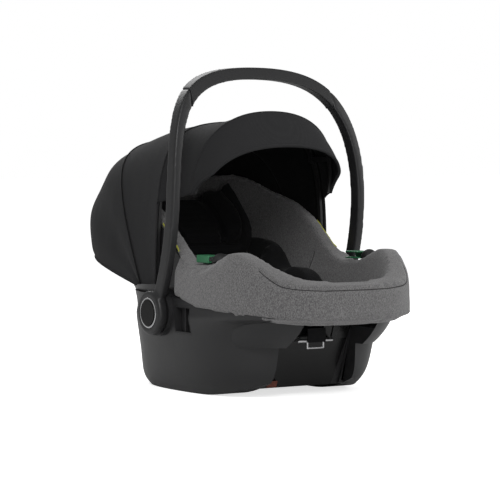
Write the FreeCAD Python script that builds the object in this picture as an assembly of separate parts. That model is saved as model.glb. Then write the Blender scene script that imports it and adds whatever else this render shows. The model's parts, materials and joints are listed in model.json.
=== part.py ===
"""Infant car seat with carry handle, two-piece hood, sliding headrest and three-point harness.

Millimetres. X across the seat, -Y towards the child's feet, +Z up. The origin is on the floor under
the middle of the seat's length. Each sub-part is written to parts/NAME.step. Sizes along Y are from a
datum near the handle's pivot; exporting moves every piece by the same step onto the origin.
"""
import FreeCAD, Part
import math
import os

V = FreeCAD.Vector
X_AXIS = V(1, 0, 0)
Y_AXIS = V(0, 1, 0)

# ---- driving sizes -------------------------------------------------------------------------
MIDDLE_Y = 24.0               # middle of the whole length, which exported parts have at the origin
SHELL_HALF_W = 190.0          # widest outside of the lower shell
WAIST_HALF_W = SHELL_HALF_W - 15   # outside of the shell above its ledge, inside the hood
FOOT_HALF_W = SHELL_HALF_W - 40    # outside of the shell on the floor
FRONT_REACH = 326.0           # origin to the front of the padded rim
SHELL_BACK = 360.0            # origin to the back of the head end
FOOT_FRONT = 170.0            # origin to the front of the rockers
FOOT_BACK = 196.0             # origin to the back of the shell on the floor
WIDEST_Y = -60.0              # where the shell is widest
SHELL_WALL = 4.0
FOAM_GAP = 0.3                # foam to shell
SOFT_GAP = 0.3                # any padding to what it lies on
COVER_T = 6.0                 # inner cover
RIM_T = 12.0                  # padded band over the rim
FOAM_T = 16.0
SQUARE = 0.78                 # roundness of plan corners: 0.55 is an ellipse, 1 a square

# seat line, in the plane of symmetry
PAN_FRONT = V(0, -280, 176)
PAN_DROP_DEG = 14.0           # the seat pan falls backwards
BACK_TOP = V(0, 300, 322)
BACK_RISE_DEG = 39.0          # the backrest rises backwards
SEAT_BEND_R = 70.0
CAVITY_HALF_W = SHELL_HALF_W - 40  # inside of the cover at the rim
CAVITY_FOOT_HALF_W = SHELL_HALF_W - 74  # inside of the cover at the seat pan
CAVITY_FRONT = 300.0
CAVITY_BACK = 330.0

# rocker feet
ROCKER_FLAT_FRONT = -60.0
ROCKER_FLAT_BACK = 130.0
ROCKER_FRONT_RISE = 34.0
ROCKER_BACK_RISE = 11.0
CHANNEL_HALF_W = 88.0         # gap between the rockers
CHANNEL_H = 14.0
RECESS_TOP_HALF_W = 78.0      # front recess, under the rim
RECESS_TOP_Z = 134.0
RECESS_TOP_Y = -195.0         # back wall of the recess, top and bottom
RECESS_FOOT_Y = -150.0

# handle
PIVOT_Y = 20.0
PIVOT_Z = 142.0
BOSS_R = 42.0
BOSS_FACE = SHELL_HALF_W + 6       # outer face of the shell's boss, from the middle
HUB_R = 40.0
HUB_T = 18.0
SIDE_GAP = 0.4                # hub to boss
PIN_R = 7.0
PIN_CLEAR = 0.06
ARM_INNER = SHELL_HALF_W + 3       # arms' inner face
ARM_T = 16.0
ARM_W = 27.0
HANDLE_TOP = 440.0            # above the pivot
BAR_T = 22.0
ARCH_START = 156.0            # above the pivot, where the arms begin to close in
ARCH_SQUARE = 0.80
# control points of the arms in side view: y and z from the pivot
ARM_SIDE = ((0, -6), (-95, 150), (-72, 320), (-8, HANDLE_TOP + 10))
GRIP_HALF_W = SHELL_HALF_W - 36
GRIP_STEP = 1.5
GRIP_CORE = 3.0
GRIP_CLEAR = 0.1
RING_OUT_R = 27.5
RING_IN_R = 24.2
RING_T = 2.4
BUTTON_R = 23.8
BUTTON_PROUD = 2.0
BUTTON_POCKET = 7.0
BUTTON_TRAVEL = 3.0

BOSS_ROOT = WAIST_HALF_W - 3.5
HUB_EDGE_R = 4.0
RING_SEAT = 1.8               # depth of the ring's seat in the hub

# release levers behind the hubs
LEVER_IN_R = 44.8
LEVER_OUT_R = 50.0
LEVER_HALF_DEG = 30.0
LEVER_GAP = 0.4
LEVER_BACK = SHELL_HALF_W - 12
LEVER_FACE = SHELL_HALF_W + 2.4

# adapter sockets in the sides
SOCKET_Y = -54.0
SOCKET_Z = 133.0
SOCKET_L = 52.0
SOCKET_H = 48.0
SOCKET_BACK = SHELL_HALF_W - 16.5
SOCKET_WALL = 2.5

# belt guides on the rim
GUIDE_X = CAVITY_HALF_W + 10
GUIDE_Y = -96.0
GUIDE_Z = 234.5
GUIDE_L = 40.0
GUIDE_W = 26.0
GUIDE_H = 14.0
GUIDE_LIP = 3.0
HUMP_GAP = 1.0
HUMP_L = 34.0
HUMP_W = 26.0
HUMP_H = 22.0
HUMP_FOOT_Z = 231.0

# bright tape on the rising wings
BINDING_T = 1.6
BINDING_W = 5.0
BINDING_GAP = 0.1
BINDING_DROP = 4.0
BINDING_FRONT_Y = -26.0
BINDING_BACK_Y = 34.0

# hood hinges
HOOD_PIN_R = 5.0
HOOD_DISC_X = WAIST_HALF_W + 2
HOOD_HALF_W = SHELL_HALF_W - 3      # outside of the hood at its feet
KNUCKLE_X = HOOD_HALF_W - 38
KNUCKLE_T = 5.0
KNUCKLE_H = 12.0
LUG_BACK = 4.0                # how far the lug reaches into the bow
VISOR_ARM_X = HOOD_HALF_W - 52.5    # outer side of a visor arm where it meets the visor's bow
KNUCKLE_PIN_R = 2.5
VISOR_ARM_H = 9.0
VISOR_BOW_SPAN = (0.02, 0.22)  # share of the visor's depth that its bow takes up
VISOR_DISC_R = 8.0

# insert, headrest and harness
INSERT_T = 14.0
INSERT_HALF_W = CAVITY_FOOT_HALF_W + 16   # outside of the bolsters, where the walls leave room
INSERT_FRONT = -170.0
INSERT_BACK = 150.0
BOLSTER_W = 40.0
# top of the bolsters in side view: a thigh lobe, a dip and a hip lobe
BOLSTER_LINE = ((-88, 96), (-66, 150), (-42, 190), (-12, 211), (24, 217), (56, 214), (84, 234),
                (114, 256), (157, 267), (206, 262))
HEADREST_GAP = 0.6
HEADREST_WALL = 4.0
HEADREST_HALF_W = CAVITY_FOOT_HALF_W - 12
HEADREST_START = 205.0        # along the back, from the seat's bend
HEADREST_L = 140.0
HEADREST_DOWN = 45.0          # travel down the back
HEADREST_UP = 10.0            # travel up the back
HEADREST_CLEAR = 1.0
HEADREST_WING_H = 72.0
HEADREST_PAD_T = 12.0
PILLOW_T = 14.0
STRAP_W = 38.0
STRAP_T = 1.6
STRAP_X = 36.0
STRAP_LOW = 22.0
STRAP_TOP_Y = 150.0
SHOULDER_PAD_T = 9.0
SHOULDER_PAD_START = 20.0
BUCKLE_HALF_W = 26.0
BUCKLE_FRONT = -110.0
BUCKLE_BACK = -48.0
BUCKLE_LOW = 16.8
BUCKLE_H = 22.0
BUTTON_DEEP = 7.0
TONGUE_L = 11.0
RED_HALF_W = 13.0
RED_L = 26.0
CROTCH_FRONT = -140.0
CROTCH_PAD_HALF_W = 27.0
CROTCH_PAD_T = 7.0
ADJUSTER_FRONT = -252.0       # harness adjuster on the front of the pan
ADJUSTER_L = 54.0
ADJUSTER_HALF_W = 22.0
ADJUSTER_H = 11.0
ADJUSTER_BUTTON_HALF_W = 12.0
ADJUSTER_BUTTON_L = 24.0

# in the front recess and under the seat
ADJUSTER_Z = 122.0            # slot that the adjusting webbing leaves through
SLOT_HALF_H = 4.0
DOCK_BAR_Z = 98.0
DOCK_BAR_R = 3.0
DOCK_BAR_HALF_L = 35.0
DOCK_BAR_OUT = 12.0           # bar's middle to the recess wall
LOOP_WIRE_R = 1.8
LOOP_HALF_W = 17.0
LOOP_DROP = 13.0
PANEL_X = 41.0
PANEL_L = 34.0
PANEL_H = 30.0
PANEL_T = 2.0
PANEL_Z = 99.0                # foot of the panel
TAB_X = -77.0
TAB_W = 20.0
TAB_Z = 13.0
TAB_H = 12.0
TAB_T = 5.0
LOCK_BAR_R = 4.0
LOCK_BAR_Z = 8.0
LOCK_BAR_FRONT_Y = -64.0
LOCK_BAR_BACK_Y = 136.0
LOCK_BAR_END = 3.0            # length of each end held in a rocker's wall

# hood
HOOD_T = 4.0
HOOD_PIVOT_Y = 40.0
HOOD_PIVOT_Z = 200.0
HOOD_SQUARE = 0.90
VISOR_SQUARE = 0.665
BOW_T = 5.0
BOW_W = 9.0
BOW_GAP = 0.6
BOW_DISC_R = 13.0
# stations: base y, base z, crown y, crown z, half width
MAIN_BOW = (40, 192, 38, 483, HOOD_HALF_W)
MAIN_MID = (67, 190, 118, 480, HOOD_HALF_W)
REAR_SEAM = (93, 189, 224, 452, HOOD_HALF_W)
REAR_UPPER = (100, 189, 307, 419, HOOD_HALF_W)
REAR_LOWER = (108, 188, 373, 346, HOOD_HALF_W - 1)
REAR_EDGE = (115, 187, 370, 242, HOOD_HALF_W - 3)
FRONT_SEAM = (28, 352, 37, 483.5, HOOD_HALF_W - 7)
VISOR_BOW = (-24, 353, -56, 501, HOOD_HALF_W - 34)
VISOR_EDGE = (-50, 357, -112, 441, HOOD_HALF_W - 41)
VISOR_HINGE_Y = 28.0
VISOR_HINGE_Z = 415.0
SEAM_GAP = 0.6

# padded rim: side line (y, z) of its top
RIM_LINE = ((-345, 199), (-285, 208), (-235, 236), (-196, 252), (-140, 238), (-96, 233), (-54, 236),
            (-14, 261), (56, 316), (124, 346), (170, 358), (214, 375), (258, 385), (318, 373), (372, 346))
LEDGE_FRONT_Z = 134.0
LEDGE_BACK_Z = 172.0
LEDGE_BACK_Y = -25.0
RIM_BULGE = 2.5


# ---- helpers -------------------------------------------------------------------------------
def quarter(start, corner, end, square):
    """Cubic quarter of a rounded corner from start to end, pulled towards corner."""
    first = start + (corner - start) * square
    last = end + (corner - end) * square
    curve = Part.BezierCurve()
    curve.setPoles([start, first, last, end])
    return curve.toShape()


def plan_wire(z, half_w, front_y, back_y, middle_y=WIDEST_Y, square=SQUARE):
    """Closed plan outline of four rounded corners at height z."""
    right = V(half_w, middle_y, z)
    back = V(0, back_y, z)
    left = V(-half_w, middle_y, z)
    front = V(0, front_y, z)
    edges = [
        quarter(right, V(half_w, back_y, z), back, square),
        quarter(back, V(-half_w, back_y, z), left, square),
        quarter(left, V(-half_w, front_y, z), front, square),
        quarter(front, V(half_w, front_y, z), right, square),
    ]
    return Part.Wire(edges)


def plan_loft(stations):
    return Part.makeLoft([plan_wire(*s) for s in stations], True, False)


def polygon(points):
    return Part.makePolygon(list(points) + [points[0]])


def across(wire, half_w):
    """Solid of a closed wire in the YZ plane, drawn out to both sides."""
    face = Part.Face(wire)
    face.translate(V(-half_w, 0, 0))
    return face.extrude(V(2 * half_w, 0, 0))


def box(x0, x1, y0, y1, z0, z1):
    return Part.makeBox(x1 - x0, y1 - y0, z1 - z0, V(x0, y0, z0))


def disc(radius, x0, x1, y, z):
    """Cylinder along X."""
    return Part.makeCylinder(radius, x1 - x0, V(x0, y, z), X_AXIS)


def mirrored(shape):
    return shape.mirror(V(0, 0, 0), X_AXIS)


def spline(points):
    curve = Part.BSplineCurve()
    curve.interpolate([V(0, y, z) for y, z in points])
    return curve.toShape()


def below(line, half_w=260.0, floor=-20.0):
    """Everything under a side line, drawn across the seat."""
    edge = spline(line)
    first = V(0, line[0][0], line[0][1])
    last = V(0, line[-1][0], line[-1][1])
    low_last = V(0, last.y, floor)
    low_first = V(0, first.y, floor)
    sides = [edge, Part.makeLine(last, low_last), Part.makeLine(low_last, low_first)]
    sides.append(Part.makeLine(low_first, first))
    return across(Part.Wire(sides), half_w)


def export(name, shape):
    if shape.ShapeType == "Compound" and len(shape.Solids) == 1:
        shape = shape.Solids[0]
    shape = shape.removeSplitter()
    shape.translate(V(0, -MIDDLE_Y, 0))
    print(name, len(shape.Solids), shape.isValid(), round(shape.Volume / 1000.0, 1))
    shape.exportStep("parts/" + name + ".step")


# ---- seat line -----------------------------------------------------------------------------
def seat_points(raise_by):
    """Front, bend and top points of the seat line, moved out of the seat by raise_by."""
    drop = math.radians(PAN_DROP_DEG)
    rise = math.radians(BACK_RISE_DEG)
    pan_dir = V(0, math.cos(drop), -math.sin(drop))
    back_dir = V(0, math.cos(rise), math.sin(rise))
    pan_up = V(0, math.sin(drop), math.cos(drop))
    back_up = V(0, -math.sin(rise), math.cos(rise))
    front = PAN_FRONT + pan_up * raise_by
    top = BACK_TOP + back_up * raise_by
    cross = pan_dir.y * back_dir.z - pan_dir.z * back_dir.y
    gap = top - front
    along = (gap.y * back_dir.z - gap.z * back_dir.y) / cross
    return front, front + pan_dir * along, top, pan_dir, back_dir


def seat_line(raise_by):
    """Edges of the pan, the rounded bend and the back."""
    front, bend, top, pan_dir, back_dir = seat_points(raise_by)
    turn = math.radians(PAN_DROP_DEG + BACK_RISE_DEG)
    radius = SEAT_BEND_R - raise_by
    tangent = radius * math.tan(turn / 2)
    arc_start = bend - pan_dir * tangent
    arc_end = bend + back_dir * tangent
    pan_up = V(0, -pan_dir.z, pan_dir.y)
    centre = arc_start + pan_up * radius
    middle_dir = (bend - centre).normalize()
    arc = Part.Arc(arc_start, centre + middle_dir * radius, arc_end).toShape()
    return [Part.makeLine(front, arc_start), arc, Part.makeLine(arc_end, top)]


def above_seat(raise_by, half_w=260.0):
    """Everything over the seat line, up to well over the rim."""
    edges = seat_line(raise_by)
    front = edges[0].Vertexes[0].Point
    top = edges[-1].Vertexes[-1].Point
    far_front = V(0, -420, front.z + 60)
    far_back = V(0, 420, top.z + (420 - top.y) * math.tan(math.radians(BACK_RISE_DEG)))
    roof_back = V(0, 420, 700)
    roof_front = V(0, -420, 700)
    edges = [Part.makeLine(far_front, front)] + edges
    edges.append(Part.makeLine(top, far_back))
    edges.append(Part.makeLine(far_back, roof_back))
    edges.append(Part.makeLine(roof_back, roof_front))
    edges.append(Part.makeLine(roof_front, far_front))
    return across(Part.Wire(edges), half_w)


def layer(low, high, half_w, start_y, end_y):
    """Slab lying on the seat line between two heights, between two positions along the seat."""
    slab = above_seat(low, half_w).cut(above_seat(high, half_w + 5))
    return slab.common(box(-half_w, half_w, start_y, end_y, 0, 600))


def cavity(grow):
    """The hollow that the child sits in; grow moves its walls out."""
    foot = CAVITY_FOOT_HALF_W + grow
    rim = CAVITY_HALF_W + grow
    front = -CAVITY_FRONT - grow
    back = CAVITY_BACK + grow
    stations = [
        (60, foot - 10, front + 40, back - 30),
        (130, foot + 14, front + 20, back - 14),
        (220, rim - 4, front + 4, back - 4),
        (320, rim, front, back),
        (430, rim, front, back),
    ]
    return plan_loft(stations).common(above_seat(-grow))


# ---- shell ---------------------------------------------------------------------------------
def lower_body(inset):
    """Outside of the shell under the ledge, moved in by inset."""
    stations = [
        (-6, FOOT_HALF_W - inset, -FOOT_FRONT + 6 + inset, FOOT_BACK - 4 - inset, 12),
        (18, FOOT_HALF_W + 14 - inset, -FOOT_FRONT - 16 + inset, FOOT_BACK + 22 - inset, 8),
        (85, SHELL_HALF_W - 8 - inset, -FOOT_FRONT - 38 + inset, FOOT_BACK + 18 - inset, -12),
        (120, SHELL_HALF_W - 1 - inset, -FOOT_FRONT - 56 + inset, FOOT_BACK + 20 - inset, -20),
        (142, SHELL_HALF_W - inset, -FRONT_REACH + 22 + inset, FOOT_BACK + 28 - inset, -52),
        (186, SHELL_HALF_W - 3 - inset, -FRONT_REACH + 18 + inset, FOOT_BACK + 52 - inset, WIDEST_Y),
    ]
    return plan_loft(stations)


def upper_body(inset):
    """Outside of the shell above the ledge, moved in by inset."""
    waist = WAIST_HALF_W - inset
    front = -FRONT_REACH + 15 + inset
    stations = [
        (90, waist - 14, front + 80, FOOT_BACK + 12 - inset),
        (140, waist - 4, front + 24, FOOT_BACK + 28 - inset),
        (200, waist, front + 4, SHELL_BACK - 70 - inset),
        (260, waist, front, SHELL_BACK - 22 - inset),
        (320, waist - 3, front, SHELL_BACK - inset),
        (410, waist - 14, front, SHELL_BACK - 4 - inset),
    ]
    return plan_loft(stations)


def ledge_cut(drop=0.0):
    """Space over the ledge on which the padded rim stands."""
    points = [V(0, -420, LEDGE_FRONT_Z - drop), V(0, LEDGE_BACK_Y, LEDGE_BACK_Z - drop),
              V(0, 420, LEDGE_BACK_Z + 4 - drop), V(0, 420, 700), V(0, -420, 700)]
    return across(polygon(points), 260)


def rocker_profile(rise):
    """Side outline of the underside: flat under the seat's weight and lifting at both ends."""
    start = V(0, ROCKER_FLAT_FRONT, rise)
    stop = V(0, ROCKER_FLAT_BACK, rise)
    front_end = V(0, -FOOT_FRONT - 30, ROCKER_FRONT_RISE + rise)
    back_end = V(0, FOOT_BACK + 30, ROCKER_BACK_RISE + rise)
    front_pull = V(0, (start.y + front_end.y) / 2, rise)
    back_pull = V(0, (stop.y + back_end.y) / 2, rise)
    front = Part.BezierCurve()
    front.setPoles([front_end, front_pull, start])
    back = Part.BezierCurve()
    back.setPoles([stop, back_pull, back_end])
    low_back = V(0, back_end.y, -60)
    low_front = V(0, front_end.y, -60)
    edges = [front.toShape(), Part.makeLine(start, stop), back.toShape(),
             Part.makeLine(back_end, low_back), Part.makeLine(low_back, low_front),
             Part.makeLine(low_front, front_end)]
    return Part.Wire(edges)


def under_cut(wall):
    """What the underside, the channel between the rockers and the front recess take away."""
    ground = across(rocker_profile(wall), 260)
    channel_half = CHANNEL_HALF_W + wall
    channel = box(-channel_half, channel_half, -420, 420, -60, CHANNEL_H + wall)
    top_half = RECESS_TOP_HALF_W + wall
    points = [V(0, RECESS_FOOT_Y + wall, -60), V(0, RECESS_FOOT_Y + wall, CHANNEL_H),
              V(0, RECESS_TOP_Y + wall, RECESS_TOP_Z + wall), V(0, -420, RECESS_TOP_Z + wall),
              V(0, -420, -60)]
    face = Part.Face(polygon(points))
    face.translate(V(-top_half, 0, 0))
    recess = face.extrude(V(2 * top_half, 0, 0))
    flare = Part.makeLoft([
        polygon([V(-top_half, -420, RECESS_TOP_Z), V(top_half, -420, RECESS_TOP_Z),
                 V(top_half, RECESS_TOP_Y, RECESS_TOP_Z), V(-top_half, RECESS_TOP_Y, RECESS_TOP_Z)]),
        polygon([V(-channel_half, -420, 0), V(channel_half, -420, 0),
                 V(channel_half, RECESS_FOOT_Y, 0), V(-channel_half, RECESS_FOOT_Y, 0)]),
    ], True, True)
    return ground.fuse([channel, recess, flare])


def rim_under(depth, half_w=260.0):
    """Everything lower than depth under the top of the padded rim."""
    return below([(y, z - depth) for y, z in RIM_LINE], half_w)


def both(shape):
    """A shape and its mirror image, as a list."""
    return [shape, mirrored(shape)]


def lever_sector(low_r, high_r, x0, x1, half_deg):
    """Part of a ring about the handle's pivot, behind the hub."""
    ring = disc(high_r, x0, x1, PIVOT_Y, PIVOT_Z).cut(disc(low_r, x0 - 1, x1 + 1, PIVOT_Y, PIVOT_Z))
    reach = high_r * 1.5
    half = math.radians(half_deg)
    tip_y = PIVOT_Y + reach * math.cos(half)
    tip_z = reach * math.sin(half)
    wedge = Part.Face(polygon([V(x0, PIVOT_Y, PIVOT_Z), V(x0, tip_y, PIVOT_Z + tip_z),
                               V(x0, tip_y, PIVOT_Z - tip_z)])).extrude(V(x1 - x0, 0, 0))
    return ring.common(wedge)


def recess_wall_y(z):
    """Where the sloping back wall of the front recess stands at a height."""
    share = (RECESS_TOP_Z - z) / (RECESS_TOP_Z - CHANNEL_H)
    return RECESS_TOP_Y + (RECESS_FOOT_Y - RECESS_TOP_Y) * share


def bar_leg(x, radius):
    """Leg of the dock bar, from the bar through the recess wall."""
    start = recess_wall_y(DOCK_BAR_Z) - DOCK_BAR_OUT
    return Part.makeCylinder(radius, DOCK_BAR_OUT + SHELL_WALL, V(x, start, DOCK_BAR_Z), Y_AXIS)


def leg_hole(x):
    return bar_leg(x, DOCK_BAR_R + PIN_CLEAR)


def lock_bar(y, grow=0.0):
    """Steel bar across the channel between the rockers, which a car base grips."""
    half = CHANNEL_HALF_W + LOCK_BAR_END + grow
    return disc(LOCK_BAR_R + grow, -half, half, y, LOCK_BAR_Z)


def outer_shell():
    """Hollow lower shell with rockers, front recess, ledge, upright walls and handle bosses."""
    outside = lower_body(0).cut(ledge_cut()).fuse(upper_body(0).common(rim_under(RIM_T)))
    hollow = lower_body(SHELL_WALL).cut(ledge_cut(SHELL_WALL)).fuse(upper_body(SHELL_WALL))
    hollow = hollow.cut(under_cut(SHELL_WALL))
    shell = outside.cut(under_cut(0)).cut(hollow)
    boss = disc(BOSS_R, BOSS_ROOT, BOSS_FACE, PIVOT_Y, PIVOT_Z)
    shell = shell.fuse(both(boss))
    stud = disc(HOOD_PIN_R, WAIST_HALF_W - SHELL_WALL + 1, HOOD_DISC_X + BOW_T - 1,
                HOOD_PIVOT_Y, HOOD_PIVOT_Z)
    shell = shell.fuse(both(stud))
    bore = disc(PIN_R, BOSS_ROOT - 1, BOSS_FACE + 1, PIVOT_Y, PIVOT_Z)
    slot = lever_sector(LEVER_IN_R - LEVER_GAP, LEVER_OUT_R + LEVER_GAP, BOSS_ROOT, BOSS_FACE + 2,
                        LEVER_HALF_DEG + 0.6)
    window = box(SOCKET_BACK - SOFT_GAP, SHELL_HALF_W + 10, SOCKET_Y - SOCKET_L / 2 - SOFT_GAP,
                 SOCKET_Y + SOCKET_L / 2 + SOFT_GAP, SOCKET_Z - SOCKET_H / 2 - SOFT_GAP,
                 SOCKET_Z + SOCKET_H / 2 + SOFT_GAP)
    shell = shell.cut(both(bore) + both(slot) + both(window))
    strap_slot = box(-STRAP_W / 2 - 2, STRAP_W / 2 + 2, RECESS_TOP_Y - 12, RECESS_TOP_Y + 30,
                     ADJUSTER_Z - SLOT_HALF_H, ADJUSTER_Z + SLOT_HALF_H)
    legs = [leg_hole(x) for x in (-DOCK_BAR_HALF_L, DOCK_BAR_HALF_L)]
    bars = [lock_bar(y, PIN_CLEAR) for y in (LOCK_BAR_FRONT_Y, LOCK_BAR_BACK_Y)]
    return shell.cut([strap_slot] + legs + bars)


def foam_liner():
    """Energy-absorbing foam between the shell and the cover."""
    inset = SHELL_WALL + FOAM_GAP
    block = upper_body(inset).common(rim_under(RIM_T))
    block = block.common(above_seat(-COVER_T - FOAM_T))
    return block.cut(under_cut(inset)).cut(cavity(COVER_T + SOFT_GAP))


def seat_cover():
    """Cover that lines the seat."""
    lining = cavity(COVER_T).common(rim_under(RIM_T + SOFT_GAP))
    return lining.cut(cavity(0))


def rim_cover():
    """Padded band over the rim, with a deep apron round the front."""
    outer = WAIST_HALF_W + RIM_T
    stations = [
        (LEDGE_FRONT_Z - 8, outer - 1, -FRONT_REACH + 7, 200),
        (165, outer + RIM_BULGE, -FRONT_REACH, 200),
        (205, outer + RIM_BULGE - 1, -FRONT_REACH + 2, 200),
        (270, outer - 4, -FRONT_REACH + 14, 200),
    ]
    apron = plan_loft(stations).common(box(-260, 260, -420, LEDGE_BACK_Y - 3, 0, 400))
    apron = apron.common(ledge_cut(-SOFT_GAP))
    cap = upper_body(-SOFT_GAP)
    band = apron.cut(cap)
    inner_cap = cap.cut(rim_under(RIM_T - SOFT_GAP)).cut(cavity(0))
    return band.fuse(inner_cap).common(rim_under(0))


def wing_binding():
    """Bright tape along the outside of the rising rim, just under its edge."""
    band = rim_under(BINDING_DROP).cut(rim_under(BINDING_DROP + BINDING_W))
    band = band.common(box(0, 260, BINDING_FRONT_Y, BINDING_BACK_Y, 0, 500))
    low = SOFT_GAP + BINDING_GAP
    return band.common(upper_body(-low - BINDING_T)).cut(upper_body(-low))


def adapter_socket():
    """Lined pocket in the shell's side for a carriage adapter."""
    low_y = SOCKET_Y - SOCKET_L / 2
    low_z = SOCKET_Z - SOCKET_H / 2
    outside = box(SOCKET_BACK, SHELL_HALF_W + 10, low_y, low_y + SOCKET_L, low_z, low_z + SOCKET_H)
    inside = box(SOCKET_BACK + SOCKET_WALL, SHELL_HALF_W + 20, low_y + SOCKET_WALL,
                 low_y + SOCKET_L - SOCKET_WALL, low_z + SOCKET_WALL,
                 low_z + SOCKET_H - SOCKET_WALL)
    rib = box(SOCKET_BACK + SOCKET_WALL, SOCKET_BACK + SOCKET_WALL + 6, SOCKET_Y - 2, SOCKET_Y + 2,
              low_z + SOCKET_WALL, low_z + SOCKET_H - SOCKET_WALL)
    return outside.cut(inside).fuse(rib).common(lower_body(0))


def belt_guide():
    """Hook on the rim that holds the car's lap belt down."""
    z = GUIDE_Z
    points = [V(0, 0, z), V(GUIDE_W, 0, z), V(GUIDE_W, 0, z + GUIDE_H), V(2, 0, z + GUIDE_H),
              V(0, 0, z + GUIDE_H - 3), V(0, 0, z + GUIDE_H - GUIDE_LIP),
              V(GUIDE_W - GUIDE_LIP, 0, z + GUIDE_H - GUIDE_LIP),
              V(GUIDE_W - GUIDE_LIP, 0, z + GUIDE_LIP), V(0, 0, z + GUIDE_LIP)]
    hook = Part.Face(polygon(points)).extrude(V(0, GUIDE_L, 0))
    hook.translate(V(GUIDE_X - GUIDE_W / 2, GUIDE_Y - GUIDE_L / 2, 0))
    ends = [e for e in hook.Edges if abs(e.tangentAt(e.FirstParameter).x) > 0.99
            and e.CenterOfMass.z > z + GUIDE_H - 0.1]
    return hook.makeFillet(GUIDE_LIP * 0.6, ends)


def guide_hump():
    """Low fairing in front of a belt guide."""
    stations = []
    for share, size in ((0.0, 0.35), (0.5, 1.0), (1.0, 0.55)):
        y = GUIDE_Y - GUIDE_L / 2 - HUMP_GAP - HUMP_L * share
        half = HUMP_W / 2 * size
        high = HUMP_H * size
        floor = V(GUIDE_X - half, y, HUMP_FOOT_Z)
        curve = Part.Arc(floor, V(GUIDE_X, y, HUMP_FOOT_Z + high), V(GUIDE_X + half, y, HUMP_FOOT_Z))
        line = Part.makeLine(V(GUIDE_X + half, y, HUMP_FOOT_Z), floor)
        stations.append(Part.Wire([curve.toShape(), line]))
    hump = Part.makeLoft(stations, True, False)
    return hump.cut(rim_under(-0.2))


# ---- handle --------------------------------------------------------------------------------
def arch(half_w, height, start_z, y, foot_z):
    """Upright arch in a plane of constant y, with straight legs and rounded shoulders."""
    base = PIVOT_Z + start_z
    top = PIVOT_Z + height
    right_foot = V(half_w, y, PIVOT_Z + foot_z)
    right = V(half_w, y, base)
    crown = V(0, y, top)
    left = V(-half_w, y, base)
    left_foot = V(-half_w, y, PIVOT_Z + foot_z)
    return [Part.makeLine(right_foot, right),
            quarter(right, V(half_w, y, top), crown, ARCH_SQUARE),
            quarter(crown, V(-half_w, y, top), left, ARCH_SQUARE),
            Part.makeLine(left, left_foot),
            Part.makeLine(left_foot, right_foot)]


def arch_band(grow):
    """The handle's front view: the space between its outer and inner arch."""
    far = PIVOT_Y - 160
    depth = 220
    outer = Part.Face(Part.Wire(arch(ARM_INNER + ARM_T + grow, HANDLE_TOP + grow, ARCH_START, far, 0)))
    inner = Part.Face(Part.Wire(arch(ARM_INNER - grow, HANDLE_TOP - BAR_T - grow, ARCH_START, far, -5)))
    return outer.extrude(V(0, depth, 0)).cut(inner.extrude(V(0, depth, 0)))


def bow_band(grow):
    """The handle's side view: arms that bow forwards on their way up."""
    half = ARM_W / 2 + grow
    front = Part.BezierCurve()
    front.setPoles([V(0, PIVOT_Y + y - half, PIVOT_Z + z) for y, z in ARM_SIDE])
    back = Part.BezierCurve()
    back.setPoles([V(0, PIVOT_Y + y + half, PIVOT_Z + z) for y, z in reversed(ARM_SIDE)])
    ends = [Part.makeLine(front.EndPoint, back.StartPoint), Part.makeLine(back.EndPoint, front.StartPoint)]
    return across(Part.Wire([front.toShape(), ends[0], back.toShape(), ends[1]]), 230)


def grip_zone(half_w):
    return box(-half_w, half_w, -200, 200, PIVOT_Z + ARCH_START + 60, 700)


def hub_x():
    return BOSS_FACE + SIDE_GAP


def handle_frame():
    """Arms, hubs and the core that runs through the grip."""
    bar = arch_band(0).common(bow_band(0))
    core = arch_band(-GRIP_CORE).common(bow_band(-GRIP_CORE)).common(grip_zone(GRIP_HALF_W + 1))
    arms = bar.cut(grip_zone(GRIP_HALF_W))
    face = hub_x()
    room = disc(BOSS_R + 4, 0, face, PIVOT_Y, PIVOT_Z)
    frame = arms.fuse(core).cut(both(room))
    hub = disc(HUB_R, face, face + HUB_T, PIVOT_Y, PIVOT_Z)
    hub = hub.makeFillet(HUB_EDGE_R, [e for e in hub.Edges if e.CenterOfMass.x > face + HUB_T - 0.1
                                      and e.Closed])
    frame = frame.fuse(both(hub))
    end = face + HUB_T
    pocket = disc(RING_OUT_R, end - RING_SEAT, end + 5, PIVOT_Y, PIVOT_Z)
    well = disc(BUTTON_R + 0.4, end - BUTTON_POCKET, end + 5, PIVOT_Y, PIVOT_Z)
    bore = disc(PIN_R + PIN_CLEAR, face - 5, end - BUTTON_POCKET + 1, PIVOT_Y, PIVOT_Z)
    return frame.cut(both(pocket) + both(well) + both(bore))


def handle_grip():
    """Soft grip sleeve over the top bar, standing a step proud of the arms."""
    sleeve = arch_band(GRIP_STEP).common(bow_band(GRIP_STEP)).common(grip_zone(GRIP_HALF_W - 0.2))
    slack = GRIP_CORE - GRIP_CLEAR
    core = arch_band(-slack).common(bow_band(-slack)).common(grip_zone(GRIP_HALF_W + 2))
    return sleeve.cut(core)


def hub_ring():
    end = hub_x() + HUB_T
    ring = disc(RING_OUT_R - 0.1, end - RING_SEAT, end - RING_SEAT + RING_T, PIVOT_Y, PIVOT_Z)
    ring = ring.cut(disc(RING_IN_R, end - 10, end + 10, PIVOT_Y, PIVOT_Z))
    outer = [e for e in ring.Edges if e.Closed and e.CenterOfMass.x > end - RING_SEAT + RING_T - 0.05]
    return ring.makeChamfer(0.5, outer)


def hub_button():
    end = hub_x() + HUB_T
    start = end - BUTTON_POCKET + BUTTON_TRAVEL + 0.4
    button = disc(BUTTON_R, start, end + BUTTON_PROUD, PIVOT_Y, PIVOT_Z)
    rim = [e for e in button.Edges if e.Closed and e.CenterOfMass.x > end + BUTTON_PROUD - 0.05]
    return button.makeFillet(1.2, rim)


def pivot_pin():
    end = hub_x() + HUB_T - BUTTON_POCKET
    return disc(PIN_R, BOSS_ROOT, end - 0.5, PIVOT_Y, PIVOT_Z)


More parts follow.
